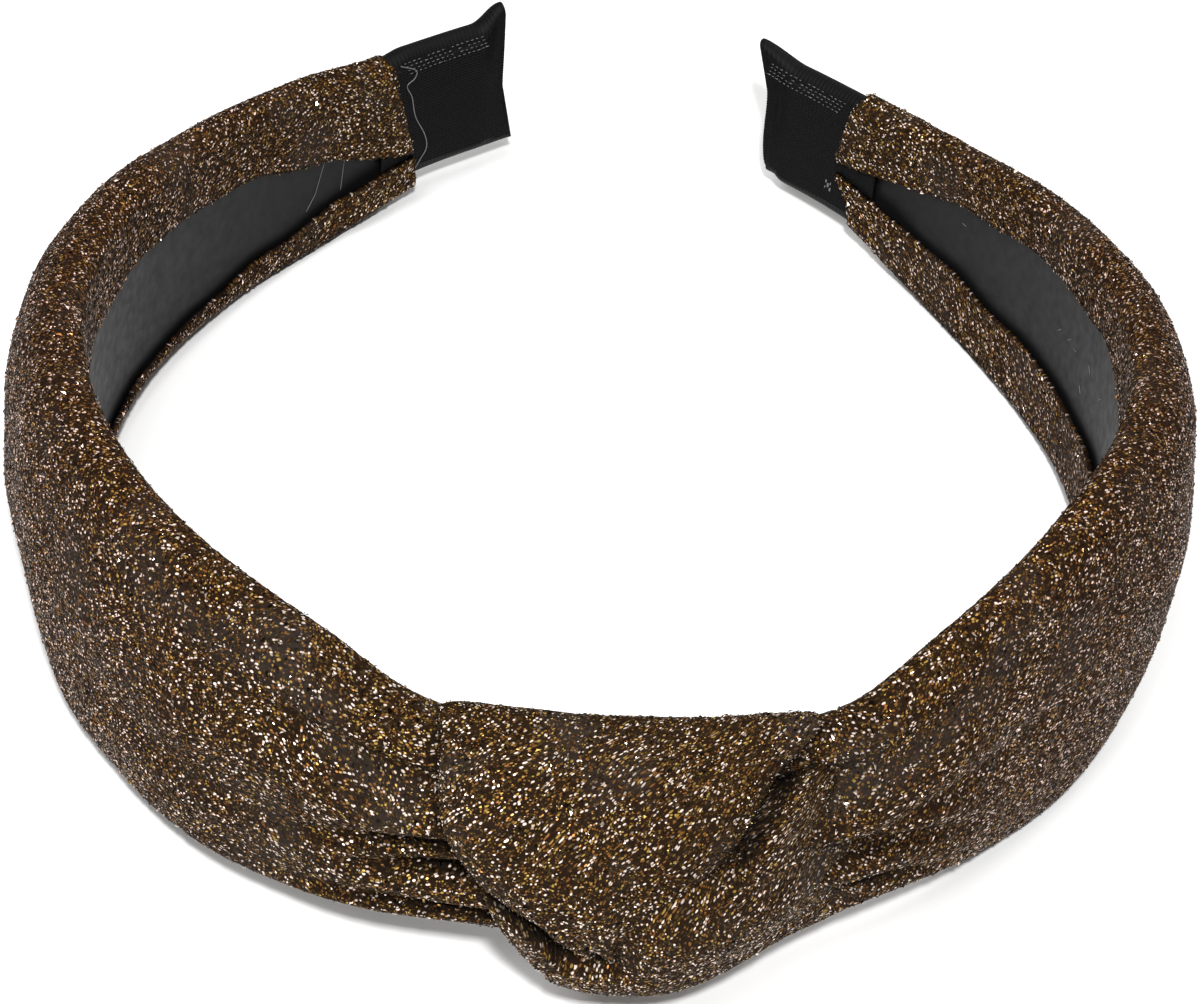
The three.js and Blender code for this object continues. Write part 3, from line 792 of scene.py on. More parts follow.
def side_tint(tree, colours, film):
    """Film turns pinker away from the knot: its colour is mixed by how far to a side it lies."""
    apart = add_node(tree, "ShaderNodeSeparateXYZ", {"Vector": object_place(tree)})
    aside = add_node(tree, "ShaderNodeMath", {0: apart.outputs["X"]}, operation="ABSOLUTE")
    share = ranged(tree, aside.outputs[0], *BLUSH_RUN, 0.0, BLUSH_MOST)
    return mixed(tree, share, film, colours.knit_blush, "MULTIPLY")


def in_creases(tree, colour):
    """A colour that turns darker where the cloth around shuts out the light, as in the knot's creases."""
    open_sky = add_node(tree, "ShaderNodeAmbientOcclusion", samples=4, in_Distance=CREASE_DEPTH * MM)
    share = add_node(
        tree, "ShaderNodeMath", {0: open_sky.outputs["AO"]}, operation="POWER", in_1=CREASE_DARKENS,
    )
    return mixed(tree, share.outputs[0], CREASE_BLACK, colour)


def speck_layer(tree, vector, rim, luck):
    """A layer of cells: each one's random value, where specks are, and its random turn.

    rim: how far from a cell's middle a speck starts to fade and ends. luck: which cells have a speck,
    by another random value, from faint to full.
    """
    cells = add_node(
        tree, "ShaderNodeTexVoronoi", {"Vector": vector}, voronoi_dimensions="2D", in_Scale=1.0,
    )
    random = add_node(tree, "ShaderNodeSeparateColor", {"Color": cells.outputs["Color"]})
    inside = ranged(tree, cells.outputs["Distance"], rim[1], rim[0])
    chosen = ranged(tree, random.outputs["Green"], *luck)
    return random.outputs["Red"], multiplied(tree, inside, chosen), cells.outputs["Color"]


def knit_material(colours):
    """Single-jersey knit of dark polyester and metallised film yarn.

    The dark fibre is dull. Where the film comes up it shows in short slanting strokes and in specks
    between them, copper, gold or nearly white; the near-white ones are painted glints, set by a random
    value in place of each speck's tilt to the light. Over patches of a centimetre a painted grey sheen
    lies on the fibre and the film shows less.
    """
    material, tree, shader = new_material(KNIT_NAME)
    cloth = add_node(tree, "ShaderNodeUVMap", uv_map="cloth").outputs["UV"]
    wander = noise(tree, cloth, WANDER_SIZE, "Color", noise_dimensions="2D")
    bent = add_node(
        tree, "ShaderNodeVectorMath", {0: centred(tree, wander), 2: cloth},
        operation="MULTIPLY_ADD", in_1=(WANDER_REACH * MM, WANDER_REACH * MM, 0),
    ).outputs[0]
    slanted = add_node(
        tree, "ShaderNodeMapping", {"Vector": bent}, vector_type="TEXTURE",
        in_Rotation=(0, 0, STROKE_SLANT), in_Scale=(STROKE_LENGTH * MM, STROKE_WIDTH * MM, 1),
    )
    fine = add_node(
        tree, "ShaderNodeMapping", {"Vector": bent}, vector_type="TEXTURE",
        in_Scale=(FINE_SPECK * MM, FINE_SPECK * MM, 1),
    )
    stroke, stroke_mask, stroke_turn = speck_layer(tree, slanted.outputs[0], (0.26, 0.44), (0.4, 0.5))
    speck, speck_mask, _ = speck_layer(tree, fine.outputs[0], (0.2, 0.4), (0.35, 0.6))
    # Painted sheen: random patches where the fibre turns greyer and the film shows less, standing in for
    # light off the dark fibre.
    sheen_patches = ranged(tree, noise(tree, cloth, SHEEN_PATCH_SIZE, noise_dimensions="2D"), 0.52, 0.7, 0.0, 0.4)
    yarn = mixed(tree, sheen_patches, colours.knit_shade, colours.knit_sheen)
    less = add_node(tree, "ShaderNodeMath", {1: sheen_patches}, operation="SUBTRACT", in_0=1.0).outputs[0]
    dim = multiplied(tree, speck_mask, less)
    bright = multiplied(tree, stroke_mask, less)
    # Strokes and specks take the film's colours by a random value; the pale ones are painted glints.
    specked = mixed(tree, dim, yarn, glint_ramp(tree, speck, colours, 0.25))
    colour = mixed(tree, bright, specked, glint_ramp(tree, stroke, colours, 0.0))
    tinted = in_creases(tree, side_tint(tree, colours, colour))
    tree.links.new(tinted, shader.inputs["Base Color"])
    tree.links.new(ranged(tree, bright, 0.0, 1.0, 0.0, 0.45), shader.inputs["Metallic"])
    tree.links.new(ranged(tree, bright, 0.0, 1.0, 0.8, 0.3), shader.inputs["Roughness"])
    face = add_node(tree, "ShaderNodeNewGeometry")
    tilt = add_node(
        tree, "ShaderNodeVectorMath", {0: centred(tree, stroke_turn), 2: face.outputs["Normal"]},
        operation="MULTIPLY_ADD", in_1=(SPECK_TILT, SPECK_TILT, SPECK_TILT),
    )
    facing = add_node(tree, "ShaderNodeVectorMath", {0: tilt.outputs[0]}, operation="NORMALIZE")
    tree.links.new(facing.outputs[0], shader.inputs["Normal"])
    shader.inputs["Specular IOR Level"].default_value = 0.06
    return material


def film_material(colours):
    """Metallised polyester film yarn, slit to a third of a millimetre and knitted in.

    Each float of it is a small mirror with a tint of its own: dark olive, copper, gold or nearly white.
    """
    material, tree, shader = new_material("Slit metallised film yarn")
    tint = add_node(tree, "ShaderNodeAttribute", attribute_name="stitch_tint")
    film = glint_ramp(tree, tint.outputs["Fac"], colours, 0.0)
    tree.links.new(in_creases(tree, side_tint(tree, colours, film)), shader.inputs["Base Color"])
    shader.inputs["Metallic"].default_value = 0.85
    sheen_patches = noise(tree, object_place(tree), 3)
    tree.links.new(ranged(tree, sheen_patches, 0.3, 0.7, 0.16, 0.34), shader.inputs["Roughness"])
    return material


def plastic_material(colours):
    """Injection-moulded ABS, dark grey: smooth, slightly glossy, with faint flow marks and fine grain."""
    material, tree, shader = new_material("Moulded grey ABS")
    spot = object_place(tree)
    lighter = tuple(min(1, c * 1.25) for c in colours.plastic_grey)
    colour = mixed(tree, noise(tree, spot, 30), colours.plastic_grey, lighter)
    tree.links.new(colour, shader.inputs["Base Color"])
    scuff = noise(tree, spot, 1.5, in_Detail=4.0)
    tree.links.new(ranged(tree, scuff, 0.3, 0.7, 0.38, 0.52), shader.inputs["Roughness"])
    bump(tree, shader, scuff, 0.15, 0.05)
    shader.inputs["IOR"].default_value = 1.53
    shader.inputs["Specular IOR Level"].default_value = 0.1
    return material


def ribbon_material(colours):
    """Black polyester grosgrain ribbon: fine ribs along the arm, dull, its threads a little uneven."""
    material, tree, shader = new_material("Black grosgrain ribbon")
    cloth = add_node(tree, "ShaderNodeUVMap", uv_map="cloth")
    thread = add_node(
        tree, "ShaderNodeTexWave", {"Vector": cloth.outputs["UV"]}, wave_type="BANDS",
        bands_direction="X", in_Scale=1 / (0.32 * MM) / 6.283, in_Distortion=0.6, in_Detail=1.0,
    ).outputs["Fac"]
    dark = tuple(c * 0.55 for c in colours.ribbon_black)
    tree.links.new(mixed(tree, thread, dark, colours.ribbon_black), shader.inputs["Base Color"])
    bump(tree, shader, thread, 0.5, 0.06)
    shader.inputs["Roughness"].default_value = 0.62
    shader.inputs["Specular IOR Level"].default_value = 0.12
    return material


def plain_material(name, colour, roughness):
    """A material of one finish with a fine mottle, for threads, glue and lint."""
    material, tree, shader = new_material(name)
    darker = tuple(c * 0.75 for c in colour)
    lighter = tuple(min(1, c * 1.2) for c in colour)
    mottle = noise(tree, object_place(tree), 0.8)
    tree.links.new(mixed(tree, mottle, darker, lighter), shader.inputs["Base Color"])
    shader.inputs["Roughness"].default_value = roughness
    return material


def floor_material(colours):
    """A sweep of matt white card."""
    material, _, shader = new_material("Matt white card")
    shader.inputs["Base Color"].default_value = (*colours.card_white, 1)
    shader.inputs["Roughness"].default_value = 0.9
    return material


def colour_property(name, description, hex_colour):
    """A colour that a user may change, its default given as an sRGB hex value."""
    return FloatVectorProperty(
        name=name, description=description, subtype="COLOR", size=3, min=0, max=1,
        default=linear(hex_colour, alpha=False),
    )


class HeadbandColours(bpy.types.PropertyGroup):
    """Colours of the headband's materials."""

    knit_shade: colour_property("Knit", "Dull fibre of the knit", "#22150a")
    # Painted grey sheen, laid in random patches over the dull fibre of the knit.
    knit_sheen: colour_property("Painted knit sheen", "Painted grey sheen in patches", "#33302e")
    knit_blush: colour_property("Blush", "What tints the film away from the knot", "#ffe0dc")
    knit_olive: colour_property("Olive film", "Darkest film of the glitter yarn", "#433519")
    knit_copper: colour_property("Copper film", "Copper-coloured film of the glitter yarn", "#80562a")
    knit_gold: colour_property("Gold film", "Gold-coloured film of the glitter yarn", "#b08f48")
    # Pale film; on the knit it is also painted as near-white glints in the base colour.
    knit_pale_film_and_glint: colour_property("Pale film", "Pinkish white film of the glitter yarn, and its painted glints", "#ffeadb")
    ribbon_black: colour_property("Ribbon", "Black of the ribbon caps", "#0b0b0c")
    rib_thread: colour_property("Rib thread", "Paler stitches near the ribbon's edge", "#737376")
    plastic_grey: colour_property("Hoop plastic", "Dark grey of the hoop", "#111112")
    glue_grey: colour_property("Dried glue", "Glue threads on the ribbon", "#5f5f62")
    scratch_grey: colour_property("Scratches", "Pale hair scratches on the hoop", "#6a6a6c")
    card_white: colour_property("Floor card", "White of the floor", "#f2f2f2")


def size_property(name, description, size, least, most):
    """A size in millimetres that a user may change."""
    return FloatProperty(
        name=name, description=description, default=size * MM, min=least * MM, max=most * MM,
        subtype="DISTANCE", unit="LENGTH",
    )


def turn_property(name, description, degrees):
    """An angle that a user may change."""
    return FloatProperty(
        name=name, description=description, default=math.radians(degrees), subtype="ANGLE",
    )


def power_property(name, description, watts):
    """A light's power that a user may change."""
    return FloatProperty(
        name=name, description=description, default=watts, min=0, subtype="POWER", unit="POWER",
    )


class HeadbandStitches(bpy.types.PropertyGroup):
    """Sizes of the glitter yarn's stitches."""

    length: size_property("Stitch length", "Length of a film float along the cloth", 0.42, 0.1, 2)
    width: size_property("Stitch width", "Width of a film float", 0.28, 0.1, 2)
    height: size_property("Stitch height", "How far a film float stands off the cloth", 0.08, 0.05, 1)
    tilt: turn_property("Stitch tilt", "The most that a film float tips to one side", 32)
    seed: IntProperty(name="Seed", description="Start of the random draws", default=7, min=0)


class HeadbandView(bpy.types.PropertyGroup):
    """Camera and light of the product photograph."""

    elevation: turn_property("Elevation", "Height of the camera over the hoop's plane", 41)
    yaw: turn_property("Yaw", "Turn of the camera round the hoop", -0.68)
    roll: turn_property("Roll", "Roll of the camera about its view", 4.63)
    distance: size_property("Distance", "From the camera to its target", 452.1, 100, 2000)
    lens: FloatProperty(name="Lens", description="Focal length", default=108.85, unit="CAMERA")
    flash_power: power_property("Flash", "Power of the small light over the camera", 5)
    softbox_power: power_property("Softbox", "Power of the large light overhead", 7)


def settings():
    """The user's settings: colours, stitches and view."""
    scene = bpy.context.scene
    return scene.headband_colours, scene.headband_stitches, scene.headband_view


def knit_once():
    """The knit's material, made on first use, because covers and knot are cut from the same cloth."""
    return bpy.data.materials.get(KNIT_NAME) or knit_material(settings()[0])


# The stage: what the camera looks at, in millimetres of the hoop's own frame, and the rest in metres.
CAMERA_TARGET = (0.91, 54.37, 0.0)
SENSOR_WIDTH = 36.0
NEAREST = 0.01
LIT_POINT = (0.0, 0.0, 0.02)
FLASH = dict(where=(0.03, -0.42, 0.62), size=0.05)
SOFTBOX = dict(where=(-0.25, -0.25, 0.9), size=0.6)
BACK_FILL = dict(where=(0.35, 0.7, 0.7), size=0.7)
FILL_SHARE = 0.5
ROOM_COLOUR = "#fffdf8"
ROOM_STRENGTH = 0.16
FLOOR_HALF = 4.0


def aim(made, where, at, roll=0.0):
    """Puts an object somewhere and turns its -Z axis to a point."""
    way = Vector(at) - Vector(where)
    made.matrix_world = (
        Matrix.Translation(Vector(where))
        @ way.to_track_quat("-Z", "Y").to_matrix().to_4x4()
        @ Matrix.Rotation(roll, 4, "Z")
    )


def add_light(name, power, where, size):
    """A square area light, aimed at the headband."""
    light = bpy.data.lights.new(name, "AREA")
    light.size = size
    light.energy = power
    made = bpy.data.objects.new(name, light)
    bpy.context.scene.collection.objects.link(made)
    aim(made, where, LIT_POINT)


def add_camera(shot):
    """The photograph's camera, set by its turn round the hoop and its height over the hoop's plane."""
    back = np.array([
        -math.sin(shot.yaw) * math.cos(shot.elevation),
        -math.cos(shot.yaw) * math.cos(shot.elevation),
        math.sin(shot.elevation),
    ])
    target = np.array(CAMERA_TARGET)
    lens = bpy.data.cameras.new("camera")
    lens.lens = shot.lens
    lens.sensor_width = SENSOR_WIDTH
    lens.clip_start = NEAREST
    camera = bpy.data.objects.new("camera", lens)
    bpy.context.scene.collection.objects.link(camera)
    aim(camera, to_frame(target + back * shot.distance / MM), to_frame(target), shot.roll)
    bpy.context.scene.camera = camera


class HEADBAND_OT_stage(bpy.types.Operator):
    """Lay the floor and set the lights and the camera"""

    bl_idname = "headband.stage"
    bl_label = "Add Stage"

    def execute(self, context):
        colours, _, shot = settings()
        ends = (-FLOOR_HALF, FLOOR_HALF)
        corners = [(ends[x], ends[y], 0) for x, y in ((0, 0), (1, 0), (1, 1), (0, 1))]
        floor = add_object("floor", corners, [(0, 1, 2, 3)], floor_material(colours), False)

        add_camera(shot)
        add_light("flash", shot.flash_power, **FLASH)
        add_light("softbox", shot.softbox_power, **SOFTBOX)
        add_light("back_fill", shot.softbox_power * FILL_SHARE, **BACK_FILL)
        world = bpy.data.worlds.new("room")
        world.use_nodes = True
        sky = world.node_tree.nodes["Background"]
        sky.inputs["Color"].default_value = linear(ROOM_COLOUR)
        sky.inputs["Strength"].default_value = ROOM_STRENGTH
        context.scene.world = world
        context.scene.view_settings.view_transform = "Standard"
        return {"FINISHED"}


def finish_piece(made, slot, *nodes):
    """Attaches a dressed piece to the root body and hides the solids that it stands in for."""
    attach(made, "root")
    if nodes:
        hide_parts(*nodes)


class HEADBAND_OT_hoop(bpy.types.Operator):
    """Add the smooth plastic hoop in place of its faceted solid"""

    bl_idname = "headband.hoop"
    bl_label = "Add Hoop"

    def execute(self, context):
        colours, _, _ = settings()
        reach = HALF_ARC - RIBBON_WALL - SEAT_GAP - END_HOLLOW
        along = np.linspace(-1, 1, HOOP_ROWS)[:, None] * reach
        half = hoop_half_width(np.abs(along) / HALF_ARC)
        out, up = strip_ring(HOOP_THICKNESS / 2, half, half)
        rings = to_frame(place(0, along, out, up))
        made = tube_object("moulded_hoop", rings, plastic_material(colours))
        finish_piece(made, "hoop_plastic", "hoop")
        return {"FINISHED"}


def tube_object(name, rings, material):
    """A closed body through rings of points, capped by a fan at each end."""
    rows, size = rings.shape[:2]
    faces = []
    for i in range(rows - 1):
        for j in range(size):
            a = i * size + j
            b = i * size + (j + 1) % size
            faces.append((a, b, b + size, a + size))
    middles = rings[[0, -1]].mean(axis=1)
    points = np.concatenate([rings.reshape(-1, 3), middles])
    for j in range(size):
        following = (j + 1) % size
        faces.append((rows * size, following, j))
        faces.append((rows * size + 1, (rows - 1) * size + j, (rows - 1) * size + following))
    if signed_volume(points, faces) < 0:
        faces = [face[::-1] for face in faces]
    return add_object(name, points, faces, material)


def cover_steps(spacing):
    """Steps over the face, a hem and a turned edge of a cover's section, about that far apart."""
    scale = CLOTH_POINTS / spacing
    return [max(2, round(scale * n)) for n in (COVER_FACE_STEPS, COVER_HEM_STEPS, COVER_TURN_STEPS)]


def cover_span(side):
    """Where a cover starts and ends, as shares of the way from the front centre to a tip."""
    return COVER_START / HALF_ARC, COVER_SECTIONS[side]["at"][-1]


def cover_sheet(side, rows, steps, wall=0.0):
    """A sheet of a cover's points in the hoop's own frame, and how far along and across each lies."""
    start, end = cover_span(side)
    at = np.linspace(start, end, rows)[:, None]
    out, up = cover_line(side, at, *steps, wall=wall)
    height = np.clip(up / (hoop_half_width(at) + RIBBON_CLOTH + CLOTH_WALL), -1, 1)
    wander = END_CUT_WANDER * ripple(up, 0, END_CUT_WANDER_SIZE, 41 + side)
    cut = row_at(END_CUTS[side], height)["cut"] + wander
    along = at * HALF_ARC - cut * smooth(at, end - END_CUT_RUN, end)
    points = place(side, side * along, out, up)
    if wall == 0:
        points = on_table(points)
    step = np.linalg.norm(np.diff(points, axis=1), axis=-1)
    across = np.concatenate([np.zeros((rows, 1)), np.cumsum(step, axis=1)], axis=1)
    return points, np.broadcast_to(along, across.shape), across


def rounded_count(steps, skip):
    """A number of points such that every skip-th one, first and last among them, is kept."""
    return int(math.ceil(steps / skip)) * skip + 1


class HEADBAND_OT_covers(bpy.types.Operator):
    """Add the two puffed knit covers, turned in over the hoop's edges"""

    bl_idname = "headband.covers"
    bl_label = "Add Covers"

    def execute(self, context):
        for side in (LEFT, RIGHT):
            start, end = cover_span(side)
            rows = rounded_count((end - start) * HALF_ARC / CLOTH_POINTS, INNER_SKIP)
            steps = cover_steps(CLOTH_POINTS)
            outer, along, across = cover_sheet(side, rows, steps)
            inner, _, _ = cover_sheet(side, rows, steps, wall=CLOTH_WALL)
            outer = on_table(roughened(outer, inner, np.random.default_rng(31 + side)))
            name = SIDE_NAMES[side]
            made = wall_object(f"knit_cover_{name}", to_frame(outer), to_frame(inner), knit_once())
            give_uv(made, along, across, INNER_SKIP)
            finish_piece(made, "glitter_knit", f"cover_{name}")
        return {"FINISHED"}


# Pleats along the knot's bands: how many lie across, where they start, and how deep they are, in mm.
PANEL_PLEATS = dict(count=3.5, phase=0.6, depth=0.12, gathered_depth=0.5, behind_share=0.3)
FOLD_PLEATS = dict(count=2.5, phase=0.8, depth=0.35)


def panel_crease(turn, cells):
    """Soft pleats of the panel, gathered towards its narrow lower end."""
    pleats = PANEL_PLEATS
    gathered = 1 - smooth(turn, -60, 30)
    front = np.where((turn > -90) & (turn < 90), 1.0, pleats["behind_share"])
    depth = front * (pleats["gathered_depth"] * gathered + pleats["depth"])
    return depth * np.cos(2 * np.pi * pleats["count"] * cells + pleats["phase"])


def fold_crease(turn, cells):
    """Soft pleats along the under fold, which run a little across it."""
    pleats = FOLD_PLEATS
    phase = pleats["phase"] + np.radians(turn)
    return pleats["depth"] * np.cos(2 * np.pi * pleats["count"] * cells + phase)


def panel_sheets(grid):
    """The panel's outer and inner sheets in the hoop's own frame, once round, with that many points."""
    turns = np.arange(grid[0]) * 360 / grid[0] - 90
    return band_sheets(WRAP_TURNS, turns, eased_cells(grid[1]), WRAP_THICKNESS, panel_crease, panel_shape)


def fold_sheets(grid):
    """The fold's outer and inner sheets in the hoop's own frame, and which of their points show."""
    turns = np.linspace(FOLD_TURNS["at"][0], FOLD_TURNS["at"][-1], grid[0])
    cells = eased_cells(grid[1])
    sheets = band_sheets(FOLD_TURNS, turns, cells, FOLD_THICKNESS, fold_crease, fold_shape)
    return *sheets, fold_in_sight(turns, cells)


def arc_lengths(points):
    """How far along and across each point of a sheet lies, measured on the sheet."""
    down = np.linalg.norm(np.diff(points, axis=0), axis=-1).mean(axis=1)
    along = np.concatenate([[0], np.cumsum(down)])[:, None]
    step = np.linalg.norm(np.diff(points, axis=1), axis=-1)
    across = np.concatenate([np.zeros((len(points), 1)), np.cumsum(step, axis=1)], axis=1)
    across = across - across[:, across.shape[1] // 2][:, None]
    return np.broadcast_to(along, across.shape), across


def eased_cells(count):
    """Shares across a band, closer together towards its edges."""
    even = np.linspace(0, 1, count)
    return 0.35 * even + 0.65 * (0.5 - 0.5 * np.cos(np.pi * even))


class HEADBAND_OT_knot(bpy.types.Operator):
    """Add the knot: the panel round the covers and the fold that comes out under it"""

    bl_idname = "headband.knot"
    bl_label = "Add Knot"

    def execute(self, context):
        material = knit_once()
        rng = np.random.default_rng(77)
        bands = (
            ("knot_panel", "knot_wrap", panel_sheets(PANEL_GRID), True),
            ("knot_lobe", "knot_fold", fold_sheets(FOLD_GRID)[:2], False),
        )
        for name, node, (outer, inner), closed in bands:
            rough = roughened(outer, inner, rng)
            made = wall_object(name, to_frame(rough), to_frame(inner), material, closed)
            give_uv(made, *arc_lengths(outer), INNER_SKIP)
            finish_piece(made, "glitter_knit", node)
        return {"FINISHED"}


class HEADBAND_OT_ribbons(bpy.types.Operator):
    """Add the ribbed ribbon caps on the two tips"""

    bl_idname = "headband.ribbons"
    bl_label = "Add Ribbon Caps"

    def execute(self, context):
        colours, _, _ = settings()
        material = ribbon_material(colours)
        for side in (LEFT, RIGHT):
            rings, along, around = ribbon_rings(side)
            made = tube_object(f"ribbon_{SIDE_NAMES[side]}", to_frame(rings), material)
            give_uv(made, along, around)
            finish_piece(made, "black_ribbon", f"ribbon_cap_{SIDE_NAMES[side]}")
        return {"FINISHED"}


def cap_size(side, along, wall):
    """A ribbon cap's half thickness, its reach up and down, and how far its corners are pulled out."""
    corners = CAP_CORNERS[side]
    ear = smooth(along, HALF_ARC - EAR_LENGTH, HALF_ARC) if wall else 0 * along
    half = hoop_half_width(along / HALF_ARC) + SEAT_GAP + wall
    thick = (HOOP_THICKNESS / 2 + SEAT_GAP + wall) * (1 - EAR_THINNING * ear)
    lift = corners["lift"] * smooth(along, MOUTH, JOIN) * (wall > 0)
    top = half + lift + ear * EAR_RISE * corners["top_rise"]
    bottom = half + ear * EAR_RISE * corners["bottom_rise"]
    return thick, top, bottom, ear


def cap_point(side, along, wall, out, up):
    """A point of a ribbon cap, drawn in where its end is hollow and out at its corners."""
    corners = CAP_CORNERS[side]
    _, top, bottom, ear = cap_size(side, along, wall)
    edge = np.where(up > 0, up / top, -up / bottom)
    reach = np.where(up > 0, corners["top_reach"], corners["bottom_reach"])
    hollow = END_HOLLOW * (1 - edge**3) - EAR_REACH * reach * edge**3
    return place(side, side * (along - ear * hollow), out, up)


def ribbon_rings(side):
    """Rings of a ribbon cap: its pocket from the tip to its mouth, then its outside back to the tip."""
    pocket_end = HALF_ARC - RIBBON_WALL - END_HOLLOW
    pocket = np.linspace(pocket_end, MOUTH, 7)
    outside = np.linspace(MOUTH, HALF_ARC, CAP_GRID[0])
    rings = []
    ups = []
    for along, wall in [(a, 0) for a in pocket] + [(a, RIBBON_CLOTH) for a in outside]:
        thick, top, bottom, _ = cap_size(side, along, wall)
        out, up = strip_ring(thick, top, bottom, 12, CAP_GRID[1])
        if wall:
            rib = RIB_DEPTH * np.cos(2 * np.pi * up / RIB_PITCH)
            out = out + np.sign(out) * rib * (np.abs(out) > 0.9 * thick)
        rings.append(cap_point(side, along, wall, out, up))
        ups.append(up)
    ups = np.array(ups)
    lengths = np.broadcast_to(np.concatenate([pocket, outside])[:, None], ups.shape)
    return np.array(rings), lengths, ups


def on_cap(side, along, up, lift):
    """A point on the inner face of a ribbon cap, lifted off it towards the wearer's head."""
    thick = cap_size(side, along, RIBBON_CLOTH)[0]
    return cap_point(side, along, RIBBON_CLOTH, -thick - lift, up)


def thin_tube(name, points, radius, material, sides=6):
    """A closed thread of a few sides along a path of points, in millimetres of the hoop's own frame."""
    along = unit(np.gradient(points, axis=0))
    aside = unit(np.cross(along, np.array([0.31, 0.17, 0.93])))
    across = np.cross(along, aside)
    turn = 2 * np.pi * np.arange(sides) / sides
    ring = aside[:, None] * np.cos(turn)[:, None] + across[:, None] * np.sin(turn)[:, None]
    return tube_object(name, to_frame(points[:, None] + radius * ring), material)


def dense_path(table, steps):
    """Smooth values between a table's rows, ordered by the column "at"."""
    return row_at(table, np.linspace(table["at"][0], table["at"][-1], steps))


def stitch_tree():
    """Geometry Nodes: one small closed float of film yarn on each point of a sheet, in a random tilt."""
    tree = bpy.data.node_groups.new("Film yarn stitches", "GeometryNodeTree")
    face = tree.interface
    face.new_socket("Sheet", in_out="INPUT", socket_type="NodeSocketGeometry")
    for name, kind in (
        ("Length", "NodeSocketFloat"), ("Width", "NodeSocketFloat"), ("Height", "NodeSocketFloat"),
        ("Tilt", "NodeSocketFloat"), ("Jitter", "NodeSocketFloat"), ("Share", "NodeSocketFloat"),
        ("Lowest", "NodeSocketFloat"), ("Spread", "NodeSocketFloat"), ("Seed", "NodeSocketInt"),
        ("Film", "NodeSocketMaterial"),
    ):
        face.new_socket(name, in_out="INPUT", socket_type=kind)
    face.new_socket("Stitches", in_out="OUTPUT", socket_type="NodeSocketGeometry")
    entry = add_node(tree, "NodeGroupInput").outputs

    def seeded(step):
        return add_node(tree, "ShaderNodeMath", {0: entry["Seed"]}, operation="ADD", in_1=step).outputs[0]

    def random_vector(step, low, high):
        made = add_node(tree, "FunctionNodeRandomValue", {"Seed": seeded(step)}, data_type="FLOAT_VECTOR")
        made.inputs[0].default_value = low
        made.inputs[1].default_value = high
        return made.outputs[0]

    def random_float(step):
        made = add_node(tree, "FunctionNodeRandomValue", {"Seed": seeded(step)}, data_type="FLOAT")
        return made.outputs[1]

    normal = add_node(tree, "GeometryNodeInputNamedAttribute", data_type="FLOAT_VECTOR", in_Name="outward")
    way = add_node(tree, "GeometryNodeInputNamedAttribute", data_type="FLOAT_VECTOR", in_Name="thread_way")
    upright = add_node(
        tree, "FunctionNodeAlignRotationToVector", {"Vector": normal.outputs["Attribute"]}, axis="Z",
    )
    turned = add_node(
        tree, "FunctionNodeAlignRotationToVector",
        {"Rotation": upright.outputs[0], "Vector": way.outputs["Attribute"]}, axis="X", pivot_axis="Z",
    )
    lean = add_node(
        tree, "ShaderNodeVectorMath", {0: random_vector(1, (-1, -1, -1), (1, 1, 1)), 1: entry["Tilt"]},
        operation="MULTIPLY",
    )
    tipped = add_node(
        tree, "FunctionNodeRotateRotation",
        {"Rotation": turned.outputs[0], "Rotate By": lean.outputs[0]}, rotation_space="LOCAL",
    )
    size = add_node(
        tree, "ShaderNodeCombineXYZ",
        {"X": entry["Length"], "Y": entry["Width"], "Z": entry["Height"]},
    )
    varied = add_node(
        tree, "ShaderNodeVectorMath", {0: size.outputs[0], 1: random_vector(2, (0.75,) * 3, (1.25,) * 3)},
        operation="MULTIPLY",
    )
    rare = add_node(tree, "ShaderNodeMath", {0: random_float(6)}, operation="POWER", in_1=RARE_LARGE)
    grown = add_node(
        tree, "ShaderNodeMath", {0: rare.outputs[0], 1: entry["Spread"]},
        operation="MULTIPLY_ADD", in_2=COMMON_SIZE,
    )
    scaled = add_node(
        tree, "ShaderNodeVectorMath", {0: varied.outputs[0], "Scale": grown.outputs[0]}, operation="SCALE",
    )
    moved = add_node(
        tree, "ShaderNodeVectorMath", {0: random_vector(3, (-1, -1, -1), (1, 1, 1)), 1: entry["Jitter"]},
        operation="MULTIPLY",
    )
    chosen = add_node(
        tree, "FunctionNodeCompare", {"A": random_float(4), "B": entry["Share"]}, operation="LESS_THAN",
    )
    position = add_node(tree, "GeometryNodeInputPosition")
    height = add_node(tree, "ShaderNodeSeparateXYZ", {"Vector": position.outputs[0]})
    above = add_node(
        tree, "FunctionNodeCompare", {"A": height.outputs["Z"], "B": entry["Lowest"]},
        operation="GREATER_THAN",
    )
    wanted = add_node(
        tree, "FunctionNodeBooleanMath", {0: chosen.outputs[0], 1: above.outputs[0]}, operation="AND",
    )
    float_shape = add_node(
        tree, "GeometryNodeMeshCone", in_Vertices=3, in_Radius_Top=0.0, in_Radius_Bottom=0.5,
        in_Depth=1.0,
    )
    flat = add_node(
        tree, "GeometryNodeSetShadeSmooth", {"Geometry": float_shape.outputs["Mesh"]},
        in_Shade_Smooth=False,
    )
    spread = add_node(
        tree, "GeometryNodeInstanceOnPoints",
        {"Points": entry["Sheet"], "Selection": wanted.outputs[0], "Instance": flat.outputs[0],
         "Rotation": tipped.outputs[0], "Scale": scaled.outputs[0]},
    )
    jittered = add_node(
        tree, "GeometryNodeTranslateInstances",
        {"Instances": spread.outputs[0], "Translation": moved.outputs[0]}, in_Local_Space=False,
    )
    stored = add_node(
        tree, "GeometryNodeStoreNamedAttribute",
        {"Geometry": jittered.outputs[0], "Value": random_float(5)},
        data_type="FLOAT", domain="INSTANCE", in_Name="stitch_tint",
    )
    real = add_node(tree, "GeometryNodeRealizeInstances", {"Geometry": stored.outputs[0]})
    dressed = add_node(
        tree, "GeometryNodeSetMaterial", {"Geometry": real.outputs[0], "Material": entry["Film"]},
    )
    add_node(tree, "NodeGroupOutput", {"Stitches": dressed.outputs[0]})
    return tree


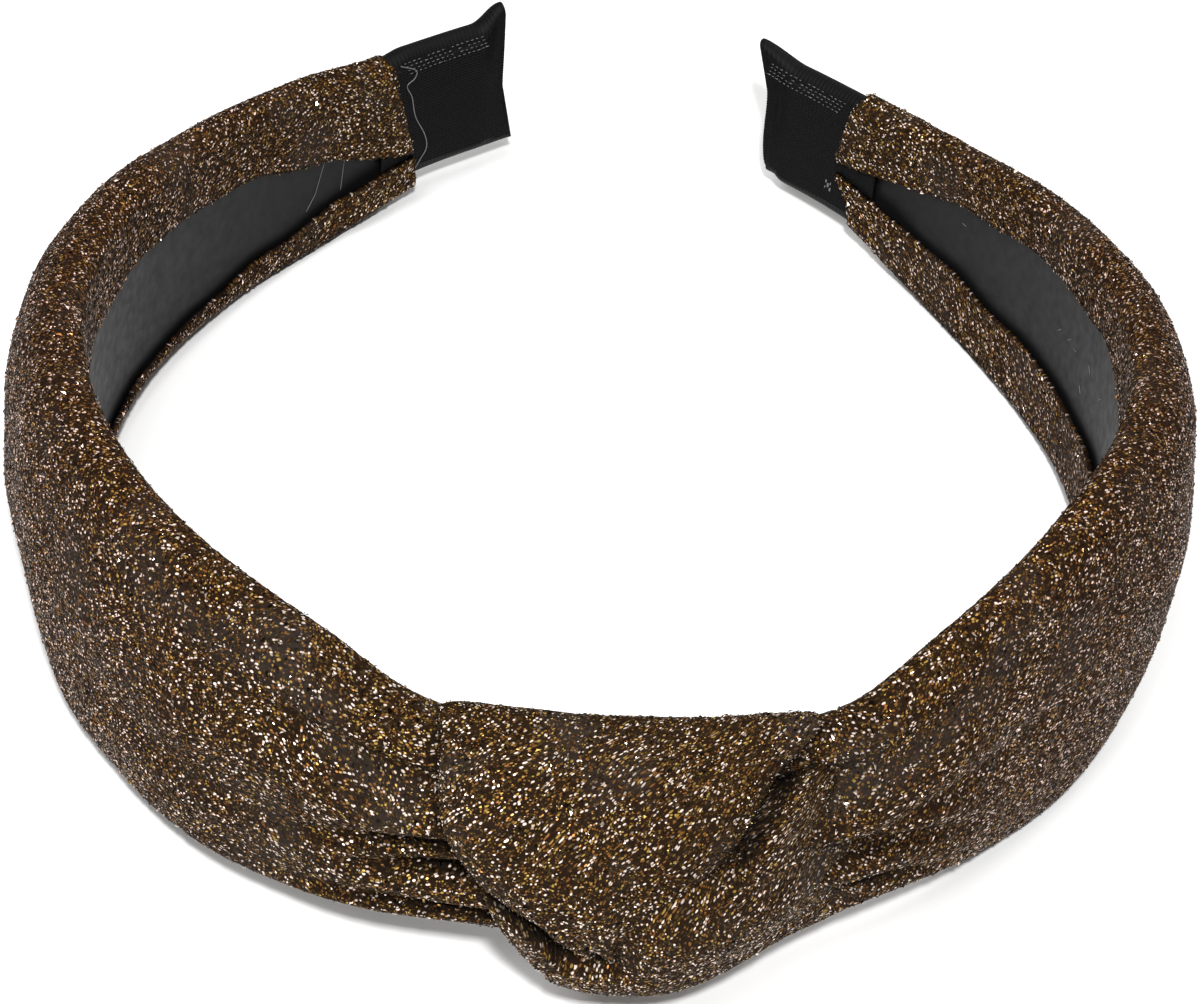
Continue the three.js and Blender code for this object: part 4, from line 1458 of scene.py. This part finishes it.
def grow_tree(name, sheet, tree, values):
    """Runs a Geometry Nodes tree on a sheet and returns its result as a plain mesh object."""
    grower = sheet.modifiers.new("grow", "NODES")
    grower.node_group = tree
    for item in tree.interface.items_tree:
        if item.in_out == "INPUT" and item.name in values:
            grower[item.identifier] = values[item.name]
    bpy.context.view_layer.update()
    mesh = bpy.data.meshes.new_from_object(sheet.evaluated_get(bpy.context.evaluated_depsgraph_get()))
    mesh.name = name
    made = bpy.data.objects.new(name, mesh)
    bpy.context.scene.collection.objects.link(made)
    bpy.data.objects.remove(sheet)
    return made


def site_sheet(outer, inner, keep=None):
    """Loose points where stitches stand, each with the way out of the cloth and along its thread."""
    spots = to_frame(outer)
    ways = {"outward": unit(spots - to_frame(inner)), "thread_way": unit(np.gradient(spots, axis=1))}
    spots = spots - ways["outward"] * STITCH_SINK * MM
    keep = np.ones(spots.shape[:2], bool) if keep is None else keep
    made = add_object("sites", spots[keep], [], None, False)
    for name, vectors in ways.items():
        layer = made.data.attributes.new(name, "FLOAT_VECTOR", "POINT")
        layer.data.foreach_set("vector", vectors[keep].ravel().astype(np.float32))
    return made


def cover_sites(side):
    """A cover's outer and inner sheets, with a point for each stitch."""
    start, end = cover_span(side)
    rows = int((end - start) * HALF_ARC / STITCH_SPACING)
    steps = cover_steps(STITCH_SPACING)
    outer, _, _ = cover_sheet(side, rows, steps)
    inner, _, _ = cover_sheet(side, rows, steps, wall=CLOTH_WALL)
    return outer, inner


class HEADBAND_OT_stitches(bpy.types.Operator):
    """Set the glitter yarn's stitches on the covers and the knot"""

    bl_idname = "headband.stitches"
    bl_label = "Add Stitches"

    def execute(self, context):
        colours, stitches, _ = settings()
        tree = stitch_tree()
        values = {
            "Length": stitches.length, "Width": stitches.width, "Height": stitches.height,
            "Tilt": stitches.tilt, "Jitter": STITCH_JITTER * MM, "Share": STITCH_SHARE,
            "Lowest": STITCH_LOWEST * MM, "Spread": STITCH_SPREAD, "Seed": stitches.seed,
            "Film": film_material(colours),
        }
        sheets = {
            "stitches_left": cover_sites(LEFT),
            "stitches_right": cover_sites(RIGHT),
            "stitches_panel": panel_sheets(PANEL_SITES),
            "stitches_lobe": fold_sheets(FOLD_SITES),
        }
        for name, sheet in sheets.items():
            finish_piece(grow_tree(name, site_sheet(*sheet), tree, values), "glitter_knit")
        return {"FINISHED"}


# Dashes of pale thread run along a ribbon cap under its top edge. Spans: where they start and stop, in
# millimetres before the cap's end.
DASH_ROWS = 4
DASH_ROW_GAP = 0.66
DASH_PITCH = 0.8
DASH_INSET = 1.0
DASH_SPANS = {LEFT: (18.0, 4.9), RIGHT: (14.6, 1.2)}

# A strand of dried glue on the left cap: how far it lies from the join with the cover, and its height.
GLUE_STRAND = columns(
    "at from_join up",
    (0, -2.2, 10),
    (1, 0.4, 8.4),
    (2, 0.3, 7.1),
    (3, -1, 6.2),
    (4, -0.1, 4),
    (5, 0.6, 0.5),
    (6, 2.3, -3.2),
    (7, 2.7, -5.6),
    (8, 1.7, -7.3),
    (9, 0.6, -8.8),
)
GLUE_RADIUS = 0.08
# Dots of glue on the right cap, from the join with the cover, their height and their radius.
GLUE_DOTS = ((3, -5.3, 0.3), (3.4, -4.8, 0.22), (2.6, -5.9, 0.24), (2.6, -4.9, 0.18), (3.5, -5.8, 0.16))
# Hair scratches on the left of the hoop: how far along it their points lie, and their heights.
SCRATCHES = (((166.5, -0.3), (164.5, -5.9), (162.8, -8.1)), ((170, -0.9), (169.2, -7.5)))
# Lint on the right of the hoop, along it and its height.
LINT = ((134, 2.1), (129, 2.5), (123.8, 3.3), (118.5, 2.5), (158.5, 2.6), (125.5, -1.5), (131, 2.7))
HAIR_RADIUS = 0.05
HAIR_SIDES = 4


# How far threads, glue and marks stand off what they lie on, and the points along each.
DASH_LIFT = 0.02
DASH_BACK = 0.5
DOT_LIFT = 0.05
DOT_FLATNESS = 0.6
SCRATCH_LIFT = 0.02
LINT_LIFT = 0.05
LINT_HALF = 0.4
STRAND_POINTS = 81
SCRATCH_POINTS = 25
DOT_POINTS = 7
LINT_POINTS = 5


def add_dashes(colours):
    """Rows of pale dashes along both ribbon caps."""
    thread = plain_material("Pale polyester thread", colours.rib_thread, 0.6)
    tree = stitch_tree()
    values = {
        "Length": 0.8 * MM, "Width": 0.2 * MM, "Height": 0.06 * MM, "Tilt": 0.06, "Jitter": 0.03 * MM,
        "Share": 0.88, "Lowest": 0.0, "Spread": 0.3, "Seed": 3, "Film": thread,
    }
    for side in (LEFT, RIGHT):
        start, end = DASH_SPANS[side]
        rows = np.arange(DASH_ROWS)[:, None]
        along = np.arange(HALF_ARC - start, HALF_ARC - end, DASH_PITCH) + rows * DASH_PITCH / 2
        top = cap_size(side, JOIN, RIBBON_CLOTH)[1]
        up = np.broadcast_to(top - DASH_INSET - rows * DASH_ROW_GAP, along.shape)
        face = on_cap(side, along, up, RIB_DEPTH + DASH_LIFT)
        sites = site_sheet(face, on_cap(side, along, up, -DASH_BACK))
        made = grow_tree(f"ribbon_dashes_{SIDE_NAMES[side]}", sites, tree, values)
        finish_piece(made, "black_ribbon")


def add_glue(colours):
    """The strand of dried glue on the left cap and the dots of it on the right."""
    glue = plain_material("Dried hot glue", colours.glue_grey, 0.35)
    strand = dense_path(GLUE_STRAND, STRAND_POINTS)
    points = on_cap(LEFT, JOIN + strand["from_join"], strand["up"], RIB_DEPTH)
    finish_piece(thin_tube("glue_strand", points, GLUE_RADIUS, glue), "black_ribbon")
    for k, (from_join, up, radius) in enumerate(GLUE_DOTS):
        run = np.linspace(-radius, radius, DOT_POINTS)
        points = on_cap(RIGHT, np.full(DOT_POINTS, JOIN + from_join), up + run, DOT_LIFT)
        made = thin_tube(f"glue_dot_{k + 1}", points, radius * DOT_FLATNESS, glue)
        finish_piece(made, "black_ribbon")


def add_marks(colours):
    """The hair scratches and the lint on the inside of the hoop."""
    pale = plain_material("Burred plastic scratch", colours.scratch_grey, 0.6)
    paths = {}
    for k, path in enumerate(SCRATCHES):
        spots = np.array(path)
        u = np.linspace(0, len(spots) - 1, SCRATCH_POINTS)
        along, up = [np.interp(u, np.arange(len(spots)), spots[:, c]) for c in (0, 1)]
        paths[f"hair_scratch_{k + 1}"] = place(LEFT, -along, -HOOP_THICKNESS / 2 - SCRATCH_LIFT, up)
    for k, (along, up) in enumerate(LINT):
        run = np.linspace(-LINT_HALF, LINT_HALF, LINT_POINTS)
        slope = k % 3 - 1
        paths[f"lint_{k + 1}"] = place(
            RIGHT, along + run, -HOOP_THICKNESS / 2 - LINT_LIFT, up + run * slope,
        )
    for name, points in paths.items():
        finish_piece(thin_tube(name, points, HAIR_RADIUS, pale, HAIR_SIDES), "hoop_plastic")


class HEADBAND_OT_details(bpy.types.Operator):
    """Add the ribbon's pale thread, the dried glue, and the hoop's scratches and lint"""

    bl_idname = "headband.details"
    bl_label = "Add Small Details"

    def execute(self, context):
        colours, _, _ = settings()
        add_dashes(colours)
        add_glue(colours)
        add_marks(colours)
        return {"FINISHED"}


class HEADBAND_PT_panel(bpy.types.Panel):
    """The headband's pieces and settings"""

    bl_label = "Knot headband"
    bl_idname = "HEADBAND_PT_panel"
    bl_space_type = "VIEW_3D"
    bl_region_type = "UI"
    bl_category = "Headband"

    def draw(self, context):
        layout = self.layout
        for operator in OPERATORS:
            layout.operator(operator.bl_idname)
        for group in settings():
            for name in group.bl_rna.properties.keys():
                if name not in ("rna_type", "name"):
                    layout.prop(group, name)


OPERATORS = (
    HEADBAND_OT_stage, HEADBAND_OT_hoop, HEADBAND_OT_covers, HEADBAND_OT_knot, HEADBAND_OT_ribbons,
    HEADBAND_OT_stitches, HEADBAND_OT_details,
)
CLASSES = (HeadbandColours, HeadbandStitches, HeadbandView, *OPERATORS, HEADBAND_PT_panel)


def register():
    for item in CLASSES:
        bpy.utils.register_class(item)
    bpy.types.Scene.headband_colours = PointerProperty(type=HeadbandColours)
    bpy.types.Scene.headband_stitches = PointerProperty(type=HeadbandStitches)
    bpy.types.Scene.headband_view = PointerProperty(type=HeadbandView)


def unregister():
    del bpy.types.Scene.headband_view
    del bpy.types.Scene.headband_stitches
    del bpy.types.Scene.headband_colours
    for item in reversed(CLASSES):
        bpy.utils.unregister_class(item)


def main():
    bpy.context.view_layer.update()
    register()
    for operator in OPERATORS:
        group, name = operator.bl_idname.split(".")
        getattr(getattr(bpy.ops, group), name)()


if __name__ == "__main__":
    main()
